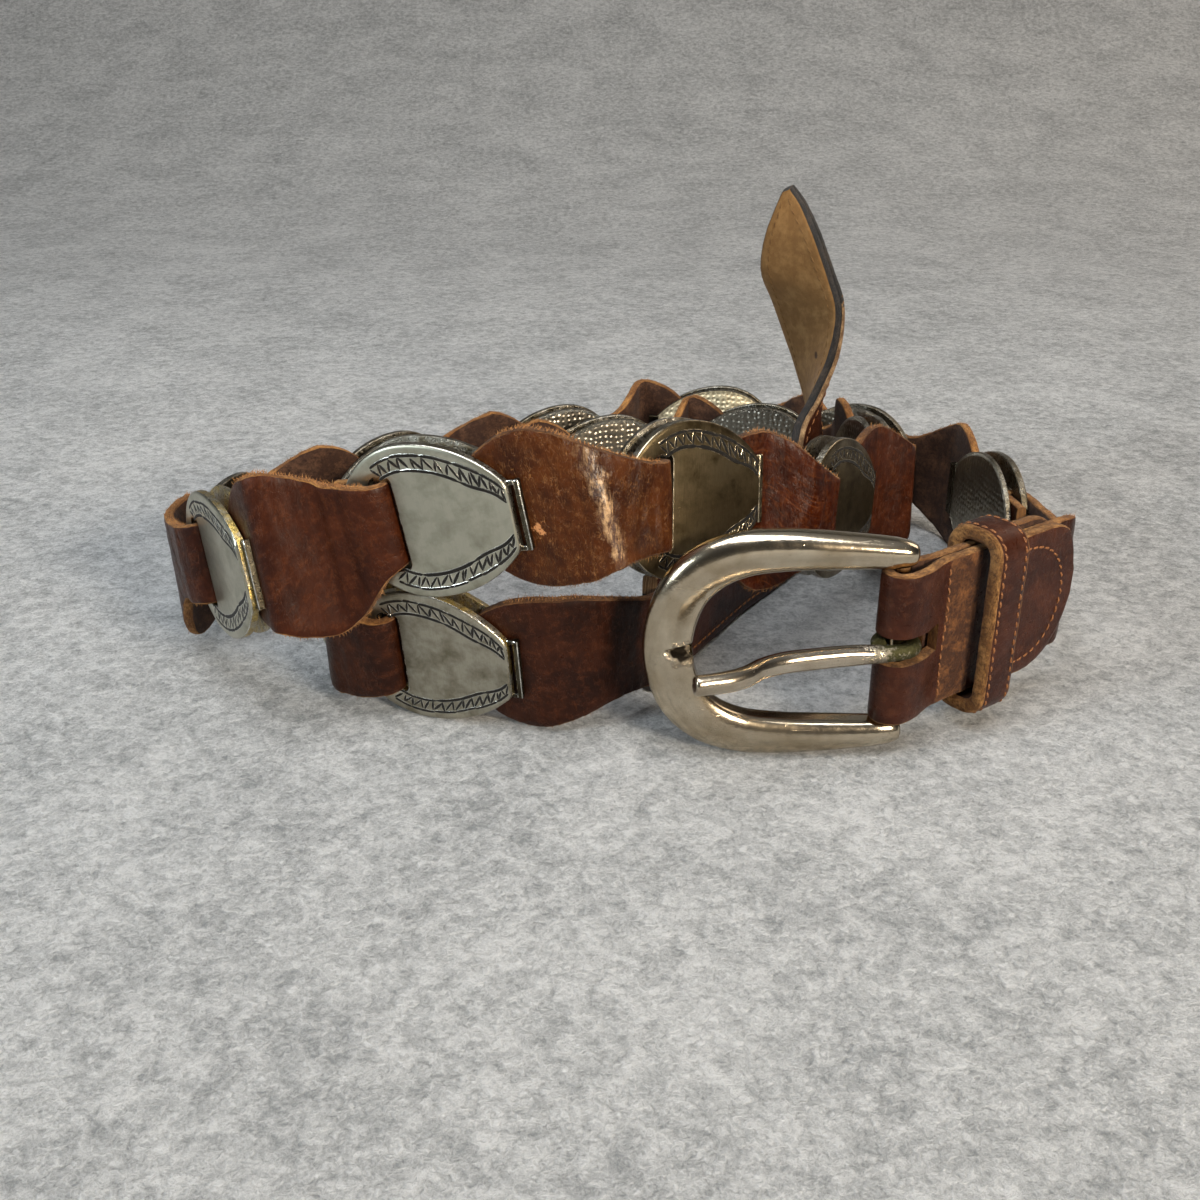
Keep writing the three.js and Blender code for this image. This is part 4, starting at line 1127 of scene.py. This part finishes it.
def make_tongue():
    build, count = Build(), 190
    turn = math.radians(14)
    along = BUCKLE_POSE.along * math.cos(turn) - BUCKLE_POSE.out * math.sin(turn)
    pose = Pose(BUCKLE_POSE.at, BUCKLE_POSE.up, np.cross(along, BUCKLE_POSE.up), along)
    loop = [math.radians(262 - 26.2 * k) for k in range(10)]
    stops = [vec(3.2 * math.sin(a), 3.2 * math.cos(a), 1.45) for a in loop] + [vec(0, 3.2, 1.45)]
    stops += [vec(*row) for row in TONGUE]
    line = [spline(stops, i / count) for i in range(count + 1)]
    centres = [pose.point(s, 0, n) for s, n, _ in line]
    outs = []
    for i in range(count + 1):
        ahead = unit(centres[min(i + 1, count)] - centres[max(i - 1, 0)])
        outs.append(np.cross(pose.up, ahead))

    def profile(i):
        """Nearly round, flatter towards the tip, and unevenly worn."""
        s, _, r = line[i]
        flat = 0.10 * smooth(-s, 4, 12)
        wear = 0.035 * wave(i * 0.12, 0.0, 3.0)
        made = []
        for a in (math.tau * j / 24 for j in range(24)):
            k = r + wear * math.sin(3 * a)
            made.append((k * (1 + flat * 0.3) * math.cos(a), k * (1 - flat) * math.sin(a)))
        return made

    rod(build, centres, [pose.up] * (count + 1), outs, profile, 0.7)
    build.object("buckle_tongue", "metal", [NICKEL_TONGUE], "buckle_metal", 50, "tongue")


make_frame()
make_tongue()


# The folded tab, the keeper and the pointed strap

def tab_inner(s):
    """Half the room between the tab's two layers."""
    return TAB["hole"] - smooth(s, 2, 10) * (TAB["hole"] - 0.15) + smooth(s, 26.4, 31.4) * 1.25


def tab_heights(s):
    """How far down and up the tab reaches, with its end rounded more below than above."""
    left = max(s - (TAB["length"] - 13), 0) / 13
    return TAB["half"] * math.sqrt(max(1 - left ** 2, 0.02)), TAB["half"] * math.sqrt(max(1 - left ** 5, 0.1))


def tab_station(s, face):
    """The middle of the tab's outer (face 1) or inner layer."""
    return Pose(TAB_POSE.point(s, 0, face * (tab_inner(s) + LEATHER / 2)), TAB_POSE.up, TAB_POSE.out * face)


def make_tab():
    build, pose = Build(), TAB_POSE
    steps = [48, 47.6, 47, 46.2, 45.4] + [44.6 - 0.9 * i for i in range(39)]
    steps += [9.5, 9.0, 8.6, 8.0, 7, 6, 5, 4, 3, 2, 1]
    radius = TAB["hole"] + LEATHER / 2
    rows = [(s, tab_station(s, -1)) for s in steps]
    for a in (math.radians(15 * k - 90) for k in range(13)):
        out = pose.out * math.sin(a) - pose.along * math.cos(a)
        rows.append((0.0, Pose(pose.point(-radius * math.cos(a), 0, radius * math.sin(a)), pose.up, out)))
    rows += [(s, tab_station(s, 1)) for s in reversed(steps)]
    stations = [station for _, station in rows]
    split = [0.4055 * k / 9 for k in range(10)] + [0.5] + [0.5945 + 0.4055 * k / 9 for k in range(10)]

    def slot(row):
        return rows[row][0] < 8.3 and rows[row + 1][0] < 8.8

    def grain(row, _):
        return 3 if 9.9 < rows[row][0] < 19 and row > len(steps) else 0

    def push(length, u):
        return 0.10 * wave(length * 0.15, u * 0.12, 8)

    def seam(places, seed):
        """Stitches along places (s, u) of the outer face."""
        line = [(tab_station(s, 1).point(0, u, LEATHER / 2), pose.out) for s, u in places]
        stitch_line(build, line, 4, seed)

    heights = [tab_heights(s) for s, _ in rows]
    strap_sheet(build, stations, lengths_of(stations), heights, LEATHER, (grain, 1, 2), 21,
                split, push, gap=(9, 11, slot))
    across = [mix(13.6, -13.6, k / 39) for k in range(40)]
    seam([(10.6 + 0.25 * math.sin(u * 0.35), u) for u in across], 1)
    angles = [mix(QUARTER, -QUARTER, k / 59) for k in range(60)]
    seam([(31 + 13.4 * max(math.cos(a), 0) ** 0.8, 12.2 * math.sin(a)) for a in angles], 2)
    build.object("buckle_tab", "leather", [TAB_GRAIN, TAB_EDGE, FLESH, TAB_WORN, THREAD], "strap_leather", 50)


def loop_path(half, front, back, corner):
    """Points and outward directions round a rounded loop, in height and depth."""
    path, dense = [], []
    for k, (u, n) in enumerate(((half - corner, front - corner), (half - corner, back + corner),
                                (corner - half, back + corner), (corner - half, front - corner))):
        for a in (math.radians(90 * k + 90 * i / 8) for i in range(9)):
            du, dn = math.cos(QUARTER - a), math.cos(a)
            path.append((u + corner * du, n + corner * dn, du, dn))
    for a, b in zip(path, path[1:] + path[:1]):
        count = max(int(math.hypot(b[0] - a[0], b[1] - a[1]) / 0.6), 1)
        dense += [tuple(mix(x, y, k / count) for x, y in zip(a, b)) for k in range(count)]
    return dense


def make_keeper():
    build, pose = Build(), TAB_POSE
    path = loop_path(18.1, 6.5, -4.0, 3.9)
    first, last, t = 18.0, 26.4, 1.1
    near = [(first + 0.55, t), (first + 0.2, t - 0.12), (first, t - 0.5), (first, 0), (first, 0.5 - t),
            (first + 0.2, 0.15 - t), (first + 0.6, -t)]
    near = [(s, n if n > 0 else n * 1.65) for s, n in near]
    inner = [(mix(first + 1.5, last - 1.5, k / 4), -t) for k in range(5)]
    far = [(first + last - s, n) for s, n in reversed(near)]
    outer = [(mix(last - 1.2, first + 1.2, k / 6), t) for k in range(7)]
    profile = near + inner + far + outer

    def crown(s):
        """The outer face stands higher along its middle."""
        return 0.22 * (1 - ((s - 22.2) / 4.2) ** 2)

    rows, uvs, run = [], [], 0.0
    for i, (u, n, du, dn) in enumerate(path + path[:1]):
        if i:
            run += math.hypot(u - path[i - 1][0], n - path[i - 1][1])
        row = []
        for j, (s, depth) in enumerate(profile):
            rag = 0.10 * wave(run * 1.7, j * 0.7, 12) if j < 7 or 12 <= j < 19 else 0
            d = depth + (crown(s) if depth > 0 else 0) + 0.12 * wave(run * 0.2, s * 0.2, 4)
            row.append(pose.point(s + rag, u + du * d, n + dn * d))
        rows.append(rows[0] if i == len(path) else row)
        uvs.append([(run, j * 0.9 + 30) for j in range(len(profile) + 1)])
    build.grid(rows, uvs, lambda r, c: 1 if c < 6 or 12 <= c < 18 else 2 if c < 12 else 0, wrap=True)
    for s, seed in ((first + 1.25, 3), (last - 1.25, 4)):
        lift = 1.1 + crown(s)
        line = [(pose.point(s, u + du * lift, n + dn * lift), pose.up * du + pose.out * dn)
                for u, n, du, dn in path + path[:1]]
        stitch_line(build, line, 3, seed)
    build.object("keeper", "leather", [TAB_GRAIN, TAB_EDGE, FLESH, THREAD], "strap_leather", 55)


# The strap in steps from its root to its tip: its lower and its upper edge.
STRAP = [
    ((0, -48.5, 0.5), (0, -48.5, 26.5)),
    ((10.6, -30, 0.3), (10.6, -30, 26.3)),
    ((23, -9, 0.3), (23, -9, 26.3)),
    ((33, 5.5, 0.3), (32.5, 5.5, 26.4)),
    ((40, 15.5, 3.5), (35.8, 10, 29.5)),
    ((44.4, 25.7, 15.6), (37.9, 14, 37.9)),
    ((45.5, 37.5, 31), (41.3, 16, 44)),
    ((41, 40, 46), (45.2, 17, 53.9)),
    ((37.4, 38, 54.5), (46.2, 17, 61.2)),
    ((32.9, 34, 64.5), (45.7, 16.5, 67.3)),
    ((29.4, 30, 71.5), (43.6, 17, 73)),
    ((28.8, 27.5, 77), (39.8, 17, 82)),
    ((29.5, 24, 84), (36.3, 19, 89)),
    ((31.6, 21, 91.5), (33.6, 20, 92.5)),
]


def make_strap():
    build, count, thick = Build(), 230, 3.4
    middles = [(vec(*low) + vec(*high)) / 2 + SHIFT for low, high in STRAP]
    halves = [(vec(*high) - vec(*low)) / 2 for low, high in STRAP]
    stations, heights = [], []
    for share in (i / count for i in range(count + 1)):
        half = spline(halves, share)
        tangent = spline(middles, min(share + 0.001, 1)) - spline(middles, max(share - 0.001, 0))
        size = float(np.linalg.norm(half))
        stations.append(Pose(spline(middles, share), half / size, unit(np.cross(tangent, half))))
        heights.append((size, size))

    def edge(r, c):
        """The grain layer's edge has lost its paint over the lower part of the strap."""
        return 4 if c < 3 and r < count * (0.68 + 0.05 * wave(r * 0.3, c, 3)) else 1

    layers = ((0.80, -0.08), (0.44, 0.06), (0.24, -0.05), (0.12, -0.30), (0.0, -0.02), (-0.40, 0.0),
              (-0.80, -0.10))
    strap_sheet(build, stations, lengths_of(stations), heights, thick, (0, edge, 2), 33, 20, rough_edge=0.05,
                ring=layers)
    sides = ((5, 1, 1, 3, 0.25), (6, 1, -1, 3, 0.25), (7, -1, 1, 5, 0.16), (8, -1, -1, 5, 0.16))
    for seed, out, sign, mat, radius in sides:
        line = [(st.point(0, sign * (half - min(2.6, half * 0.6)), out * thick / 2), st.out * out)
                for st, (half, _) in list(zip(stations, heights))[3:-6]]
        stitch_line(build, line, mat, seed, 2.3, radius)
    materials = [TAB_GRAIN, PAINTED, LINING, THREAD, STRAP_RAW, LINING_THREAD]
    build.object("tip_strap", "leather", materials, "strap_leather", 50)


make_tab()
make_keeper()
make_strap()


# Stage, lights and camera

def add(name, data, place):
    made = bpy.data.objects.new(name, data)
    made.location = place
    bpy.context.scene.collection.objects.link(made)
    return made


# The floor: flat in front, then a quarter round up into a wall.
start, bend = 0.45, 0.9
profile = [(-3.0, 0.0), (-1.0, 0.0), (0.0, 0.0), (start, 0.0)]
for k in range(1, 19):
    a = math.radians(5 * k)
    profile.append((start + bend * math.sin(a), bend - bend * math.cos(a)))
profile.append((start + bend, 3.0))
mesh = bpy.data.meshes.new("floor")
mesh.from_pydata([(x, y, z) for y, z in profile for x in (-4, 4)], [],
                 [(2 * k, 2 * k + 1, 2 * k + 3, 2 * k + 2) for k in range(len(profile) - 1)])
mesh.shade_smooth()
mesh.materials.append(felt("pale_felt"))
floor = add("floor", mesh, (0, 0, 0))

# Lights: place, what they aim at, size, watts, colour and share in reflections.
for name, place, target, size, power, colour, shine in (
        ("overhead", (-0.05, -0.30, 0.85), (0, -0.25, 0), (0.7, 0.4), 7.5, (0.97, 0.985, 1.0), 1.0),
        ("window", (0.50, -0.75, 0.40), (0, -0.05, 0.02), (0.24, 0.16), 10.5, (1.0, 0.87, 0.70), 1.5),
        ("right", (0.75, 0.45, 0.60), (0.25, 0.45, 0), (0.5, 0.4), 1.9, (1.0, 0.84, 0.68), 0.5),
        ("left", (-0.75, -0.45, 0.40), (0, -0.05, 0.03), (0.25, 0.30), 4.6, (0.80, 0.92, 1.0), 0.3)):
    lamp = bpy.data.lights.new(name, "AREA")
    lamp.shape = "RECTANGLE"
    lamp.size, lamp.size_y = size
    lamp.energy, lamp.color, lamp.specular_factor = power, colour, shine
    turn = (Vector(target) - Vector(place)).to_track_quat("-Z", "Y")
    add(name, lamp, place).rotation_euler = turn.to_euler()

# The studio round it: bands of light and dark by height, for the metal to reflect.
bpy.context.scene.view_settings.view_transform = "Standard"
world = bpy.data.worlds.new("studio")
bpy.context.scene.world = world
n = Nodes(world)
ramp = n.node("ValToRGB", {0: n.node("SeparateXYZ", {0: n.source["Generated"]}).outputs["Z"]})
band = ramp.color_ramp.elements
band[0].color, band[1].color = (0.30, 0.27, 0.23, 1), (0.62, 0.64, 0.66, 1)
for position, value in ((0.12, 0.16), (0.35, 0.06), (0.62, 0.10), (0.85, 0.40)):
    band.new(position).color = (value, value, value * 1.02, 1)
n.node("OutputWorld", {0: n.node("Background", {0: ramp.outputs[0], "Strength": 0.5}).outputs[0]})

lens = bpy.data.cameras.new("camera")
lens.sensor_width, lens.lens = 36, 39
lens.clip_start, lens.clip_end = 0.01, 20
camera = add("camera", lens, (vec(-10, -286, 132) + SHIFT) * MM)
camera.rotation_euler = (math.radians(65), 0, 0)
bpy.context.scene.camera = camera
